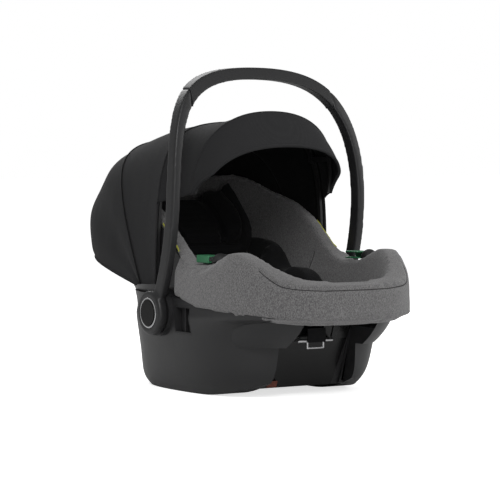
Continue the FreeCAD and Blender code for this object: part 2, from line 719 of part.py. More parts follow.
def release_lever():
    return lever_sector(LEVER_IN_R, LEVER_OUT_R, LEVER_BACK, LEVER_FACE, LEVER_HALF_DEG)


# ---- hood ----------------------------------------------------------------------------------
def hood_arch(station, inset, square):
    """Outer edges of a hood arch, in the plane through its two feet and its crown."""
    base_y, base_z, crown_y, crown_z, half_w = station
    span = math.hypot(crown_y - base_y, crown_z - base_z)
    share = (span - inset) / span
    top_y = base_y + (crown_y - base_y) * share
    top_z = base_z + (crown_z - base_z) * share
    right = V(half_w - inset, base_y, base_z)
    crown = V(0, top_y, top_z)
    left = V(-half_w + inset, base_y, base_z)
    return [quarter(right, V(half_w - inset, top_y, top_z), crown, square),
            quarter(crown, V(-half_w + inset, top_y, top_z), left, square)]


def opposite(point):
    return V(-point.x, point.y, point.z)


def hood_strip(station, low, high, square):
    """Closed section of a hood skin between two depths under its outside."""
    outer = hood_arch(station, low, square)
    inner = hood_arch(station, high, square)
    outer_foot = outer[0].Vertexes[0].Point
    inner_foot = inner[0].Vertexes[0].Point
    crown = inner[0].Vertexes[-1].Point
    back = [quarter(opposite(inner_foot), V(-inner_foot.x, crown.y, crown.z), crown, square),
            quarter(crown, V(inner_foot.x, crown.y, crown.z), inner_foot, square)]
    left_end = Part.makeLine(opposite(outer_foot), opposite(inner_foot))
    right_end = Part.makeLine(inner_foot, outer_foot)
    return Part.Wire(outer + [left_end] + back + [right_end])


def moved(station, by):
    base_y, base_z, crown_y, crown_z, half_w = station
    return (base_y + by, base_z, crown_y + by, crown_z, half_w)


def hood_skin(stations, square, low=0.0, high=HOOD_T):
    gap = SEAM_GAP / 2
    shifted = [moved(stations[0], gap)] + list(stations[1:-1]) + [moved(stations[-1], -gap)]
    return Part.makeLoft([hood_strip(s, low, high, square) for s in shifted], True, False)


def between(first, last, share):
    return tuple(a + (b - a) * share for a, b in zip(first, last))


def hood_bow(ends, square):
    """Springy bow under the skin, between two stations."""
    low = HOOD_T + BOW_GAP
    return Part.makeLoft([hood_strip(s, low, low + BOW_T, square) for s in ends], True, True)


def main_bow():
    """Front bow of the hood with its pivot discs and the knuckles that carry the visor."""
    bow = hood_bow([moved(MAIN_BOW, 1), moved(MAIN_BOW, 1 + BOW_W)], HOOD_SQUARE)
    plate = disc(BOW_DISC_R, HOOD_DISC_X, HOOD_DISC_X + BOW_T, HOOD_PIVOT_Y, HOOD_PIVOT_Z)
    hole = disc(HOOD_PIN_R + PIN_CLEAR, HOOD_DISC_X - 1, HOOD_DISC_X + BOW_T + 1, HOOD_PIVOT_Y, HOOD_PIVOT_Z)
    lug = box(KNUCKLE_X, KNUCKLE_X + KNUCKLE_T, VISOR_HINGE_Y - KNUCKLE_H / 2, MAIN_BOW[0] + LUG_BACK,
              VISOR_HINGE_Z - KNUCKLE_H / 2, VISOR_HINGE_Z + KNUCKLE_H / 2)
    pin = disc(KNUCKLE_PIN_R, KNUCKLE_X - BOW_T - 0.4, KNUCKLE_X + 2, VISOR_HINGE_Y, VISOR_HINGE_Z)
    above_hole = box(-260, 260, -100, 200, HOOD_PIVOT_Z + HOOD_PIN_R + 2, 600)
    whole = bow.common(above_hole).fuse(both(plate.cut(hole)))
    return whole.fuse(both(lug) + both(pin))


def visor_bow():
    """Bow of the visor with the two arms that hang it on the knuckles."""
    bow = hood_bow([between(VISOR_BOW, VISOR_EDGE, s) for s in VISOR_BOW_SPAN], VISOR_SQUARE)
    base_y, base_z, crown_y, crown_z, _ = VISOR_BOW
    lean = (crown_y - base_y) * (VISOR_HINGE_Z - base_z) / (crown_z - base_z)
    back = base_y + lean - BOW_W - 1
    disc_x = KNUCKLE_X - BOW_T - 0.2
    points = [V(VISOR_ARM_X - BOW_T, back, 0), V(VISOR_ARM_X, back, 0),
              V(disc_x + BOW_T - 0.2, VISOR_HINGE_Y, 0), V(disc_x, VISOR_HINGE_Y, 0)]
    arm = Part.Face(polygon(points)).extrude(V(0, 0, VISOR_ARM_H))
    arm.translate(V(0, 0, VISOR_HINGE_Z - VISOR_ARM_H / 2))
    plate = disc(VISOR_DISC_R, disc_x, disc_x + BOW_T - 0.2, VISOR_HINGE_Y, VISOR_HINGE_Z)
    hole = disc(KNUCKLE_PIN_R + PIN_CLEAR, disc_x - 1, KNUCKLE_X, VISOR_HINGE_Y, VISOR_HINGE_Z)
    return bow.fuse(both(arm) + both(plate)).cut(both(hole))


# ---- padding, headrest and harness ---------------------------------------------------------
def patch(low, high, plan_points):
    """Piece of the space between two heights over the seat line, cut to a plan outline."""
    prism = Part.Face(polygon([V(x, y, 0) for x, y in plan_points])).extrude(V(0, 0, 600))
    return above_seat(low).cut(above_seat(high)).common(prism)


def rect(x0, x1, y0, y1):
    return [(x0, y0), (x1, y0), (x1, y1), (x0, y1)]


def infant_insert():
    """Newborn insert: a thin pad between raised bolsters that fill the sides of the hollow."""
    inner = INSERT_HALF_W - BOLSTER_W
    pad = layer(SOFT_GAP, INSERT_T, inner + 1, INSERT_FRONT, INSERT_BACK)
    side = below(BOLSTER_LINE).common(box(inner, INSERT_HALF_W, -420, 420, 0, 600))
    bolster = side.common(cavity(-SOFT_GAP)).common(above_seat(SOFT_GAP))
    return pad.fuse(both(bolster)).cut(headrest_room())


def back_directions():
    """Directions along the back, upwards, and out of it."""
    rise = math.radians(BACK_RISE_DEG)
    return V(0, math.cos(rise), math.sin(rise)), V(0, -math.sin(rise), math.cos(rise))


def headrest_zone(grow):
    """Outline of the headrest in side view, with rounded wings."""
    along, up = back_directions()
    foot = seat_points(0)[1] + along * (HEADREST_START - grow)
    length = HEADREST_L + 2 * grow
    high = HEADREST_WING_H + grow
    head = foot + along * length
    top = foot + along * (length - 10) + up * high
    low = foot + up * (high * 0.2)
    edges = [Part.makeLine(foot, head), Part.makeLine(head, top), quarter(top, foot + up * high, low, 0.8),
             Part.makeLine(low, foot)]
    return across(Part.Wire(edges), 250)


def headrest_room():
    """Space that the headrest passes through on its way up and down."""
    along, up = back_directions()
    foot = seat_points(0)[1] + along * (HEADREST_START - HEADREST_DOWN - HEADREST_CLEAR)
    out = up * (HEADREST_WING_H + HEADREST_CLEAR)
    far = foot + along * 300
    return across(polygon([foot, far, far + out, foot + out]), HEADREST_HALF_W + HEADREST_CLEAR)


def headrest_reach():
    """The hollow as the headrest sees it from rest, so that it still fits when it is fully up."""
    along = back_directions()[0]
    room = cavity(-HEADREST_CLEAR)
    room.translate(along * -HEADREST_UP)
    return room


def headrest_shell():
    """Plastic headrest: back board and two side wings."""
    zone = headrest_zone(0)
    block = above_seat(HEADREST_GAP, HEADREST_HALF_W).common(zone).common(headrest_reach())
    hollow = above_seat(HEADREST_GAP + HEADREST_WALL, HEADREST_HALF_W - HEADREST_WALL)
    return block.cut(hollow)


def headrest_pad():
    """Padding inside the headrest."""
    zone = headrest_zone(-2)
    inset = HEADREST_WALL + SOFT_GAP
    block = above_seat(HEADREST_GAP + inset, HEADREST_HALF_W - inset).common(zone).common(headrest_reach())
    hollow = above_seat(HEADREST_GAP + inset + HEADREST_PAD_T, HEADREST_HALF_W - inset - HEADREST_PAD_T)
    return block.cut(hollow)


def head_pillow():
    """Soft crown pillow that lies in the headrest."""
    zone = headrest_zone(-10)
    low = HEADREST_GAP + HEADREST_WALL + HEADREST_PAD_T + 2 * SOFT_GAP
    half = HEADREST_HALF_W - HEADREST_WALL - HEADREST_PAD_T - 2 * SOFT_GAP
    block = above_seat(low, half).common(zone).common(headrest_reach())
    hollow = above_seat(low + PILLOW_T, half - PILLOW_T)
    return block.cut(hollow)


def shoulder_strap():
    x = STRAP_X
    strap = patch(STRAP_LOW, STRAP_LOW + STRAP_T, rect(x - STRAP_W / 2, x + STRAP_W / 2,
                                                      BUCKLE_BACK + TONGUE_L + SOFT_GAP, STRAP_TOP_Y))
    return strap.cut(headrest_room())


def shoulder_pad():
    x = STRAP_X
    half = STRAP_W / 2 + 6
    pad = patch(STRAP_LOW + STRAP_T + SOFT_GAP, STRAP_LOW + STRAP_T + SHOULDER_PAD_T,
                rect(x - half, x + half, SHOULDER_PAD_START, STRAP_TOP_Y))
    return pad.cut(headrest_room())


def lap_strap():
    inner = BUCKLE_HALF_W + 10
    outer = INSERT_HALF_W - BOLSTER_W - 1.5
    y = BUCKLE_BACK
    points = [(inner, y - 30), (outer, y + 12), (outer, y + 50), (inner, y + 4)]
    return patch(STRAP_LOW - 2 * STRAP_T, STRAP_LOW - STRAP_T, points)


def buckle_tongue():
    """Steel-cored tongue that joins a shoulder strap and a lap strap to the buckle."""
    points = [(2, BUCKLE_BACK + 0.4), (BUCKLE_HALF_W - 2, BUCKLE_BACK + 0.4),
              (STRAP_X + STRAP_W / 2, BUCKLE_BACK + TONGUE_L), (STRAP_X - STRAP_W / 2, BUCKLE_BACK + TONGUE_L)]
    return patch(BUCKLE_LOW + 4, BUCKLE_LOW + 10, points)


def buckle_housing():
    block = patch(BUCKLE_LOW, BUCKLE_LOW + BUCKLE_H, rect(-BUCKLE_HALF_W, BUCKLE_HALF_W, BUCKLE_FRONT,
                                                         BUCKLE_BACK))
    edges = [e for e in block.Edges if abs(e.tangentAt(e.FirstParameter).z) > 0.9]
    block = block.makeFillet(7, edges)
    pocket = patch(BUCKLE_LOW + BUCKLE_H - BUTTON_DEEP, BUCKLE_LOW + BUCKLE_H + 5,
                   rect(-RED_HALF_W - 0.4, RED_HALF_W + 0.4, BUCKLE_FRONT + 6, BUCKLE_FRONT + 6 + RED_L))
    return block.cut(pocket)


def buckle_button():
    low = BUCKLE_LOW + BUCKLE_H - BUTTON_DEEP + BUTTON_TRAVEL + 0.4
    return patch(low, BUCKLE_LOW + BUCKLE_H + 1.5,
                 rect(-RED_HALF_W, RED_HALF_W, BUCKLE_FRONT + 6.4, BUCKLE_FRONT + 5.6 + RED_L))


def crotch_strap():
    return patch(INSERT_T + 0.5, INSERT_T + 0.5 + STRAP_T,
                 rect(-STRAP_W / 2, STRAP_W / 2, CROTCH_FRONT, BUCKLE_BACK - 10))


def crotch_pad():
    """Pad on the crotch strap, in front of the buckle."""
    low = INSERT_T + 0.5 + STRAP_T + SOFT_GAP
    half = CROTCH_PAD_HALF_W
    return patch(low, low + CROTCH_PAD_T, rect(-half, half, CROTCH_FRONT - 8, BUCKLE_FRONT - 1))


def adjuster_opening(grow, length):
    """Plan outline of the adjuster's button."""
    half = ADJUSTER_BUTTON_HALF_W + grow
    middle = ADJUSTER_FRONT + ADJUSTER_L / 2
    return rect(-half, half, middle - length / 2 - grow, middle + length / 2 + grow)


def adjuster_housing():
    """Casing of the harness adjuster, on the front of the seat pan."""
    block = patch(SOFT_GAP, ADJUSTER_H, rect(-ADJUSTER_HALF_W, ADJUSTER_HALF_W, ADJUSTER_FRONT,
                                             ADJUSTER_FRONT + ADJUSTER_L))
    edges = [e for e in block.Edges if abs(e.tangentAt(e.FirstParameter).z) > 0.9]
    block = block.makeFillet(6, edges)
    pocket = patch(ADJUSTER_H - BUTTON_DEEP, ADJUSTER_H + 5, adjuster_opening(0.4, ADJUSTER_BUTTON_L))
    return block.cut(pocket)


def adjuster_button():
    low = ADJUSTER_H - BUTTON_DEEP + BUTTON_TRAVEL + 0.4
    return patch(low, ADJUSTER_H + 1.5, adjuster_opening(0, ADJUSTER_BUTTON_L))


# ---- front recess --------------------------------------------------------------------------
def dock_bar():
    """Steel bar that stands off the recess wall on two legs, with a square loop under its middle."""
    y = recess_wall_y(DOCK_BAR_Z) - DOCK_BAR_OUT
    bar = disc(DOCK_BAR_R, -DOCK_BAR_HALF_L, DOCK_BAR_HALF_L, y, DOCK_BAR_Z)
    pieces = []
    for x in (-DOCK_BAR_HALF_L, DOCK_BAR_HALF_L):
        pieces.append(bar_leg(x, DOCK_BAR_R))
        pieces.append(Part.makeSphere(DOCK_BAR_R, V(x, y, DOCK_BAR_Z)))
    low = DOCK_BAR_Z - LOOP_DROP
    for x in (-LOOP_HALF_W, LOOP_HALF_W):
        pieces.append(Part.makeCylinder(LOOP_WIRE_R, LOOP_DROP, V(x, y, low)))
        pieces.append(Part.makeSphere(LOOP_WIRE_R, V(x, y, low)))
    pieces.append(disc(LOOP_WIRE_R, -LOOP_HALF_W, LOOP_HALF_W, y, low))
    return bar.fuse(pieces)


def adjuster_strap():
    """Webbing that comes out of the slot and hangs in front of the bar."""
    y = recess_wall_y(DOCK_BAR_Z) - DOCK_BAR_OUT - DOCK_BAR_R - SOFT_GAP
    inside = RECESS_TOP_Y + SHELL_WALL + 8
    half = STRAP_W / 2
    rest = ADJUSTER_Z - SLOT_HALF_H + SOFT_GAP
    fall = box(-half, half, y - STRAP_T, y, DOCK_BAR_Z - DOCK_BAR_R, rest + STRAP_T)
    run = box(-half, half, y - STRAP_T, inside, rest, rest + STRAP_T)
    return fall.fuse(run)


def on_recess_wall(x, width, foot, height, thick):
    """Plate lying on the sloping recess wall."""
    top = foot + height
    points = [V(0, recess_wall_y(foot) - SIDE_GAP / 4, foot), V(0, recess_wall_y(top) - SIDE_GAP / 4, top),
              V(0, recess_wall_y(top) - thick, top), V(0, recess_wall_y(foot) - thick, foot)]
    face = Part.Face(polygon(points))
    face.translate(V(x, 0, 0))
    return face.extrude(V(width, 0, 0))


def recess_panel():
    plate = on_recess_wall(PANEL_X, PANEL_L, PANEL_Z, PANEL_H, PANEL_T)
    edges = [e for e in plate.Edges if abs(e.tangentAt(e.FirstParameter).y) > 0.9]
    return plate.makeFillet(4, edges)


def lock_tab():
    """Coloured tab at the foot of the recess."""
    return on_recess_wall(TAB_X, TAB_W, TAB_Z + 2, TAB_H, TAB_T)


def main():
    os.makedirs("parts", exist_ok=True)
    export("outer_shell", outer_shell())
    export("foam_liner", foam_liner())
    export("seat_cover", seat_cover())
    export("rim_cover", rim_cover())
    export("handle_frame", handle_frame())
    export("handle_grip", handle_grip())
    export("hood_main_skin", hood_skin([MAIN_BOW, MAIN_MID, REAR_SEAM], HOOD_SQUARE))
    export("hood_rear_skin", hood_skin([REAR_SEAM, REAR_UPPER, REAR_LOWER, REAR_EDGE], HOOD_SQUARE))
    export("hood_front_skin", hood_skin([VISOR_BOW, FRONT_SEAM], VISOR_SQUARE))
    export("visor_skin", hood_skin([VISOR_EDGE, VISOR_BOW], VISOR_SQUARE))
    export("main_bow", main_bow())
    export("visor_bow", visor_bow())
    export("infant_insert", infant_insert())
    export("headrest_shell", headrest_shell())
    export("headrest_pad", headrest_pad())
    export("head_pillow", head_pillow())
    for side, turn in (("left", False), ("right", True)):
        pieces = {
            "wing_binding": wing_binding(),
            "adapter_socket": adapter_socket(),
            "belt_guide": belt_guide(),
            "guide_hump": guide_hump(),
            "hub_ring": hub_ring(),
            "hub_button": hub_button(),
            "pivot_pin": pivot_pin(),
            "release_lever": release_lever(),
            "shoulder_strap": shoulder_strap(),
            "shoulder_pad": shoulder_pad(),
            "lap_strap": lap_strap(),
            "buckle_tongue": buckle_tongue(),
        }
        for name, shape in pieces.items():
            export(name + "_" + side, mirrored(shape) if turn else shape)
    export("buckle_housing", buckle_housing())
    export("buckle_button", buckle_button())
    export("crotch_strap", crotch_strap())
    export("crotch_pad", crotch_pad())
    export("adjuster_housing", adjuster_housing())
    export("adjuster_button", adjuster_button())
    export("adjuster_strap", adjuster_strap())
    export("dock_bar", dock_bar())
    export("recess_panel", recess_panel())
    export("lock_tab", lock_tab())
    export("lock_bar_front", lock_bar(LOCK_BAR_FRONT_Y))
    export("lock_bar_back", lock_bar(LOCK_BAR_BACK_Y))


main()
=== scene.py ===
"""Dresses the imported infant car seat: moulded plastics, sewn fabric, padding, harness and studio."""
import json
import math

import bmesh
import bpy
import numpy as np
from bpy.props import FloatProperty, FloatVectorProperty, IntProperty, PointerProperty
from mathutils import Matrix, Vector, noise
from mathutils.bvhtree import BVHTree
from mathutils.kdtree import KDTree

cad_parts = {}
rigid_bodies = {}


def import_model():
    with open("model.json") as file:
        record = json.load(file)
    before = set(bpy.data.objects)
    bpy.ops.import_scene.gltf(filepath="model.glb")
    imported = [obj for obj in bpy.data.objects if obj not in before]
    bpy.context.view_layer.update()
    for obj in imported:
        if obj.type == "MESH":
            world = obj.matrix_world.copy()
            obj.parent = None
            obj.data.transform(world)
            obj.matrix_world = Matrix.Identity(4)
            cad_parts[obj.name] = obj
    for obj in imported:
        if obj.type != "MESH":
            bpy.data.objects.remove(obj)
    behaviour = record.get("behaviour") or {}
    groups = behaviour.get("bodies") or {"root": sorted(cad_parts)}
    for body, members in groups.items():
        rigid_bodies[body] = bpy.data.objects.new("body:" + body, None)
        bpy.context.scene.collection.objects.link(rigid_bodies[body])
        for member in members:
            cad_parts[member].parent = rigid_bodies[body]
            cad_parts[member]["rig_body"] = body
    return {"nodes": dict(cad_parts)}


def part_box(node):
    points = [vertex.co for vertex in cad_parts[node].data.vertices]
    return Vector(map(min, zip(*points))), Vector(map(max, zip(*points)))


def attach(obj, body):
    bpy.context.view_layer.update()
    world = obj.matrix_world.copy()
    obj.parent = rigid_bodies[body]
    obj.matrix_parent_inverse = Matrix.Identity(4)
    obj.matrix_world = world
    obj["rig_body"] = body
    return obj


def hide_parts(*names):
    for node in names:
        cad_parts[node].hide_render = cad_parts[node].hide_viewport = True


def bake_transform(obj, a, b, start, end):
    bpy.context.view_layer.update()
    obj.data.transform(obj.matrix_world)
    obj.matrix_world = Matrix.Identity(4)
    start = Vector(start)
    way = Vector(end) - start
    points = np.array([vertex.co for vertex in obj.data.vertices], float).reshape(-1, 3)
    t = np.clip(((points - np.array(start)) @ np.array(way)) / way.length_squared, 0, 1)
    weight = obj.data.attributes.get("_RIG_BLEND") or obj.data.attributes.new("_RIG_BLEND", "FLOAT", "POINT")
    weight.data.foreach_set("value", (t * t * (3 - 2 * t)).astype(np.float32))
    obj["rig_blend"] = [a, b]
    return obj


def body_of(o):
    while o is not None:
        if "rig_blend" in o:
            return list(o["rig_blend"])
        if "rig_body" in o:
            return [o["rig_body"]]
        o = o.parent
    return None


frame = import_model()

bl_info = {
    "name": "Infant Car Seat",
    "version": (1, 0, 0),
    "blender": (4, 5, 0),
    "location": "3D View > Sidebar > Car Seat",
    "description": "Builds the fabric, padding, trim and finishes of an infant car seat on its CAD frame",
    "category": "Object",
}

MM = 0.001
SIDES = ("left", "right")
WHITE = (1.0, 1.0, 1.0, 1.0)
TRIM_BLACK = (0.012, 0.012, 0.0125)
# Painted shade: the colour that the shell's plastic is darkened to inside its front recess.
RECESS_PAINTED_SHADE = (0.0022, 0.0022, 0.0024)

# Hood arches, in millimetres in the model's frame: base y, base z, crown y, crown z, half width.
MAIN_BOW = (16, 192, 14, 483, 187)
MAIN_MID = (43, 190, 94, 480, 187)
REAR_SEAM = (69, 189, 200, 452, 187)
REAR_UPPER = (76, 189, 283, 419, 187)
REAR_LOWER = (84, 188, 349, 346, 186)
REAR_TURN = (89, 187, 349, 272, 185)
REAR_EDGE = (91, 187, 334, 242, 184)
VISOR_BOW = (-48, 353, -80, 501, 153)
VISOR_EDGE = (-74, 357, -136, 441, 146)
HOOD_SQUARE = 0.90
VISOR_SQUARE = 0.665
FRONT_PANEL_START = 0.1145    # share of the main bow, from each foot, that lies below the front panel
VISOR_CORNER = 0.13           # share of the visor, from each foot, over which its edge turns back to its bow
# Where each stretching panel stops following the first of its two bodies, and where it follows the second.
HOOD_STRETCH = ((0.0, 0.0695, 0.189), (0.0, -0.0021, 0.2247))
VISOR_STRETCH = ((0.0, 0.004, 0.415), (0.0, -0.046, 0.415))

# Padding, in metres unless a line says otherwise.
BACK_RISE = math.radians(39.0)
UP_THE_BACK = np.array((0.0, math.cos(BACK_RISE), math.sin(BACK_RISE)))
LOBE_SIZE = (65, 35, 17)      # half sizes of the pillow's side lobes, in millimetres
LOBE_PLACE = (66, 5)          # their place across and out of the back, in millimetres
LOBE_LEAN = math.radians(45.0)
PILLOW_SEAM = 0.046           # the pillow's seams, from the middle
PILLOW_STEPS = 40
PILLOW_PROBE_Y = -0.4         # where the rays that find the pillow's front start
HEAD_STRETCH = 0.011          # how far the head padding stands over the headrest's upper edge
HEAD_STRETCH_REACH = 0.060    # and over what length it stretches
HEADREST_DOWN = 0.045         # headrest travel down the back
HEADREST_ROOM = 0.112         # half width of the insert that the headrest may pass
KEEP_SLACK = 0.0002           # how far a held point may still move
RIM_CENTRE = -0.10            # centre, along the seat, that the rim's front curves round
PROBE = 0.5                   # how far outside the part a probing ray starts
HEM_TURN = 100                # degrees to each side of the front over which the rim's hem is turned down
HEM_FADE = 15                 # degrees over which that ends
HEM_PROBES = 180
HEM_BLUR = 4                  # neighbours on each side that a found edge is averaged with
HEM_LEVELS = (0.22, 0.12)     # heights between which the hem's lower edge is looked for
HEM_NOTCH = 0.012             # a step inwards that marks the lower edge
HEM_SKIN = 0.02               # depth of the padding that is turned down
HEM_DROP = 0.010              # how far it goes down, and over what height it stretches
HEM_REACH = 0.030
HEM_SPREAD = 0.005
SEAM_REACH = 42.0             # degrees round the seat's front that the rim's seam runs to each side
SEAM_RISE = 9                 # degrees over which its ends come up to the rim's top
SEAM_DROP = 0.008
SEAM_POINTS = 150
TAPE_DROP = 0.008             # how far under the rim's edge the bright tapes lie
TAPE_SHIFT = 0.010            # and how far behind the wing's foot
TAPE_STEPS = 24
WING_SEAM_TOP = (152, -10, 246)    # ends of the seam across each wing's inside, in millimetres
WING_SEAM_FOOT = (128, 4, 214)
WING_SEAM_STEPS = 24
WING_LOOP = (152, -13, 262)        # place of each wing's elastic loop, in millimetres
WING_LOOP_SIZE = (0.0095, 0.0048, 0.0024)
WELL_DEPTH = 0.0042           # depth of the hubs' wells behind the button
WELL_GAP = 0.0007             # gap round the button
WELL_REACH = 0.0022           # how far round it the skin is moved
# Top of the padded rim in side view, in millimetres: y, z.
RIM_LINE = ((-369, 199), (-309, 208), (-259, 236), (-220, 252), (-164, 238), (-120, 233), (-78, 236),
            (-38, 261), (32, 316), (100, 346), (146, 358), (190, 375), (234, 385), (294, 373), (348, 346))


def both(*kinds):
    """Names of the left and right piece of each kind."""
    return [f"{kind}_{side}" for kind in kinds for side in SIDES]


def swatch(code):
    """Linear colour of a six-digit screen colour."""
    parts = [int(code[i:i + 2], 16) / 255 for i in (0, 2, 4)]
    return tuple(c / 12.92 if c <= 0.04045 else ((c + 0.055) / 1.055) ** 2.4 for c in parts)


def colour_setting(name, code, description):
    return FloatVectorProperty(name=name, description=description, default=swatch(code), size=3,
                               min=0.0, max=1.0, subtype="COLOR")


def length_setting(name, value, description):
    return FloatProperty(name=name, description=description, default=value, min=0.0, max=1.0,
                         precision=4, subtype="DISTANCE", unit="LENGTH")


class CARSEAT_PG_fabrics(bpy.types.PropertyGroup):
    """Colours and sizes of the sewn fabrics."""
    melange_light: colour_setting("Melange light", "6c6b6b", "Pale fibres of the rim's knit")
    melange_dark: colour_setting("Melange dark", "403f40", "Dark fibres of the rim's knit")
    canopy: colour_setting("Canopy", "242425", "Outside of the hood")
    canopy_lining: colour_setting("Canopy lining", "0b0b0c", "Inside of the hood")
    insert: colour_setting("Insert", "151516", "Newborn insert and head pillow")
    pads: colour_setting("Pads", "19191a", "Harness pads and headrest padding")
    webbing: colour_setting("Webbing", "161617", "Harness webbing")
    binding: colour_setting("Binding", "b5b544", "Bright binding on the wings")
    knit_size: length_setting("Knit size", 0.0011, "Width of one knit rib")
    weave_size: length_setting("Weave size", 0.0009, "Width of one canopy thread")
    cloth_thickness: length_setting("Cloth thickness", 0.0016, "Thickness of a hood panel")
    piping_radius: length_setting("Piping radius", 0.0016, "Radius of the hood's piping")
    tape_width: length_setting("Tape width", 0.0045, "Width of the bright tape on a wing")
    seam_depth: length_setting("Seam depth", 0.0022, "How far a seam pulls padding in")


class CARSEAT_PG_padding(bpy.types.PropertyGroup):
    """How far each soft piece may swell."""
    rim_swell: length_setting("Rim swell", 0.004, "Furthest that the rim's padding swells")
    pad_swell: length_setting("Pad swell", 0.005, "Furthest that an inner pad swells")
    pressure: FloatProperty(name="Pressure", description="Cloth pressure that fills the padding",
                            default=4.0, min=0.0, max=20.0)
    steps: IntProperty(name="Steps", description="Frames of cloth simulation for each soft piece",
                       default=20, min=1, max=60)


class CARSEAT_PG_plastics(bpy.types.PropertyGroup):
    """Colours of the rigid pieces."""
    shell: colour_setting("Shell", "202021", "Lower shell")
    handle: colour_setting("Handle", "1f1f20", "Handle arms and hubs")
    grip: colour_setting("Grip", "1c1c1d", "Soft grip sleeve")
    guide: colour_setting("Belt guide", "2f6a48", "Green belt guides")
    steel: colour_setting("Steel", "b9b9ba", "Bars, pins and rings")
    gloss: colour_setting("Gloss black", "060606", "Hub caps, buckle and adjuster casing")
    release: colour_setting("Release", "8c1512", "Harness release buttons")
    tab: colour_setting("Tab", "5a2a1d", "Small tab at the foot of the recess")


class CARSEAT_PG_studio(bpy.types.PropertyGroup):
    """Floor, light and camera."""
    floor: colour_setting("Floor", "f2f2f2", "Plain floor")
    azimuth: FloatProperty(name="Azimuth", description="Camera's turn round the seat, from the feet end",
                           default=math.radians(-33.2), subtype="ANGLE", unit="ROTATION")
    elevation: FloatProperty(name="Elevation", description="Camera's angle over the horizon",
                             default=math.radians(2.5), subtype="ANGLE", unit="ROTATION")
    distance: FloatProperty(name="Distance", description="Camera to the point it looks at", default=4.0,
                            min=0.5, subtype="DISTANCE", unit="LENGTH")
    lens: FloatProperty(name="Lens", description="Focal length on a 36 mm sensor", default=157.8,
                        min=20.0, subtype="DISTANCE_CAMERA", unit="CAMERA")


class CARSEAT_PG_settings(bpy.types.PropertyGroup):
    """Everything that a user would change."""
    fabrics: PointerProperty(type=CARSEAT_PG_fabrics, name="Fabrics", description="Sewn fabrics")
    padding: PointerProperty(type=CARSEAT_PG_padding, name="Padding", description="Soft padding")
    plastics: PointerProperty(type=CARSEAT_PG_plastics, name="Plastics", description="Rigid pieces")
    studio: PointerProperty(type=CARSEAT_PG_studio, name="Studio", description="Floor, light, camera")


def settings():
    return bpy.context.scene.car_seat


# ---- shader groups and materials -----------------------------------------------------------
class Net:
    """Adds nodes to a shader tree; what is fed to an input is a socket, a number or a colour."""

    def __init__(self, tree):
        self.tree = tree

    def feed(self, socket, value):
        if isinstance(value, bpy.types.NodeSocket):
            self.tree.links.new(value, socket)
        else:
            socket.default_value = (*value, 1.0)[:4] if socket.type == "RGBA" else value

    def node(self, kind, inputs=None, **options):
        """New node with its options and its inputs, by name or place; gives its outputs."""
        node = self.tree.nodes.new("ShaderNode" + kind)
        for name, value in options.items():
            setattr(node, name, value)
        for key, value in (inputs or {}).items():
            self.feed(node.inputs[key], value)
        return node.outputs

    def math(self, operation, *operands):
        return self.node("Math", dict(enumerate(operands)), operation=operation)[0]

    def noise(self, vector, scale, detail=3.0, roughness=0.55):
        return self.node("TexNoise", {"Vector": vector, "Scale": scale, "Detail": detail,
                                      "Roughness": roughness})["Fac"]

    def mix(self, share, first, second):
        return self.node("Mix", {0: share, 6: first, 7: second}, data_type="RGBA")[2]

    def bump(self, height, depth, strength=0.6):
        return self.node("Bump", {"Height": height, "Distance": depth, "Strength": strength})[0]

    def place(self):
        return self.node("TexCoord")["Object"]

    def axes(self):
        return tuple(self.node("SeparateXYZ", {0: self.place()}))

    def group(self, name, **values):
        """Place a shared group with its own input values; gives its outputs."""
        return self.node("Group", values, node_tree=bpy.data.node_groups.get(name) or new_group(name))

    def show(self, lit, seen, output):
        """Give the light one shader and the camera another."""
        ray = self.node("LightPath")["Is Camera Ray"]
        shown = self.node("MixShader", {"Fac": ray, 1: lit, 2: seen})[0]
        self.feed(self.tree.nodes[output].inputs["Surface"], shown)


def weave(net, thread):
    """Crossing threads on every face direction: a height and a mask that is 1 on a thread's crown."""
    turn = net.math("DIVIDE", math.pi, thread)
    waves = [net.math("SINE", net.math("MULTIPLY", axis, turn)) for axis in net.axes()]
    pairs = [net.math("MULTIPLY", waves[a], waves[b]) for a, b in ((0, 1), (1, 2), (2, 0))]
    total = net.math("ADD", net.math("ADD", pairs[0], pairs[1]), pairs[2])
    height = net.math("MULTIPLY_ADD", total, 0.33, 0.5)
    return {"Height": height, "Mask": net.math("SMOOTH_MIN", height, 1.0, 0.2)}


def melange(net, light, dark, rib):
    """Pale and dark fibres mixed in a knit: a colour, a height and a roughness."""
    place = net.place()
    stretched = net.node("Mapping", {"Vector": place, "Scale": (1.0, 1.0, 0.42)})[0]
    fibre = net.noise(stretched, net.math("DIVIDE", 0.9, rib), 2.0)
    fleck = net.noise(place, 420.0, 2.0, 0.7)
    cloud = net.noise(place, 22.0, 2.0)
    mixed = net.math("ADD", net.math("MULTIPLY", fibre, 0.62), net.math("MULTIPLY", fleck, 0.38))
    sharp = net.node("MapRange", {"Value": mixed, "From Min": 0.40, "From Max": 0.60})[0]
    shade = net.mix(net.math("MULTIPLY", cloud, 0.16), net.mix(sharp, dark, light), dark)
    return {"Color": shade, "Height": mixed, "Roughness": net.math("MULTIPLY_ADD", fleck, 0.12, 0.82)}


def cloth_tone(net, base, thread, variation):
    """Slow change of tone in a plain cloth, a little paler on its threads: colour and roughness."""
    place = net.place()
    cloud = net.noise(place, 14.0)
    lint = net.noise(place, 900.0, 1.0)
    lift = net.math("ADD", net.math("MULTIPLY", cloud, variation), net.math("MULTIPLY", thread, 0.22))
    lift = net.math("ADD", lift, net.math("MULTIPLY", lint, 0.1))
    tone = net.node("HueSaturation", {"Color": base, "Value": net.math("ADD", lift, 0.78)})[0]
    return {"Color": tone, "Roughness": net.math("MULTIPLY_ADD", cloud, 0.14, 0.76)}


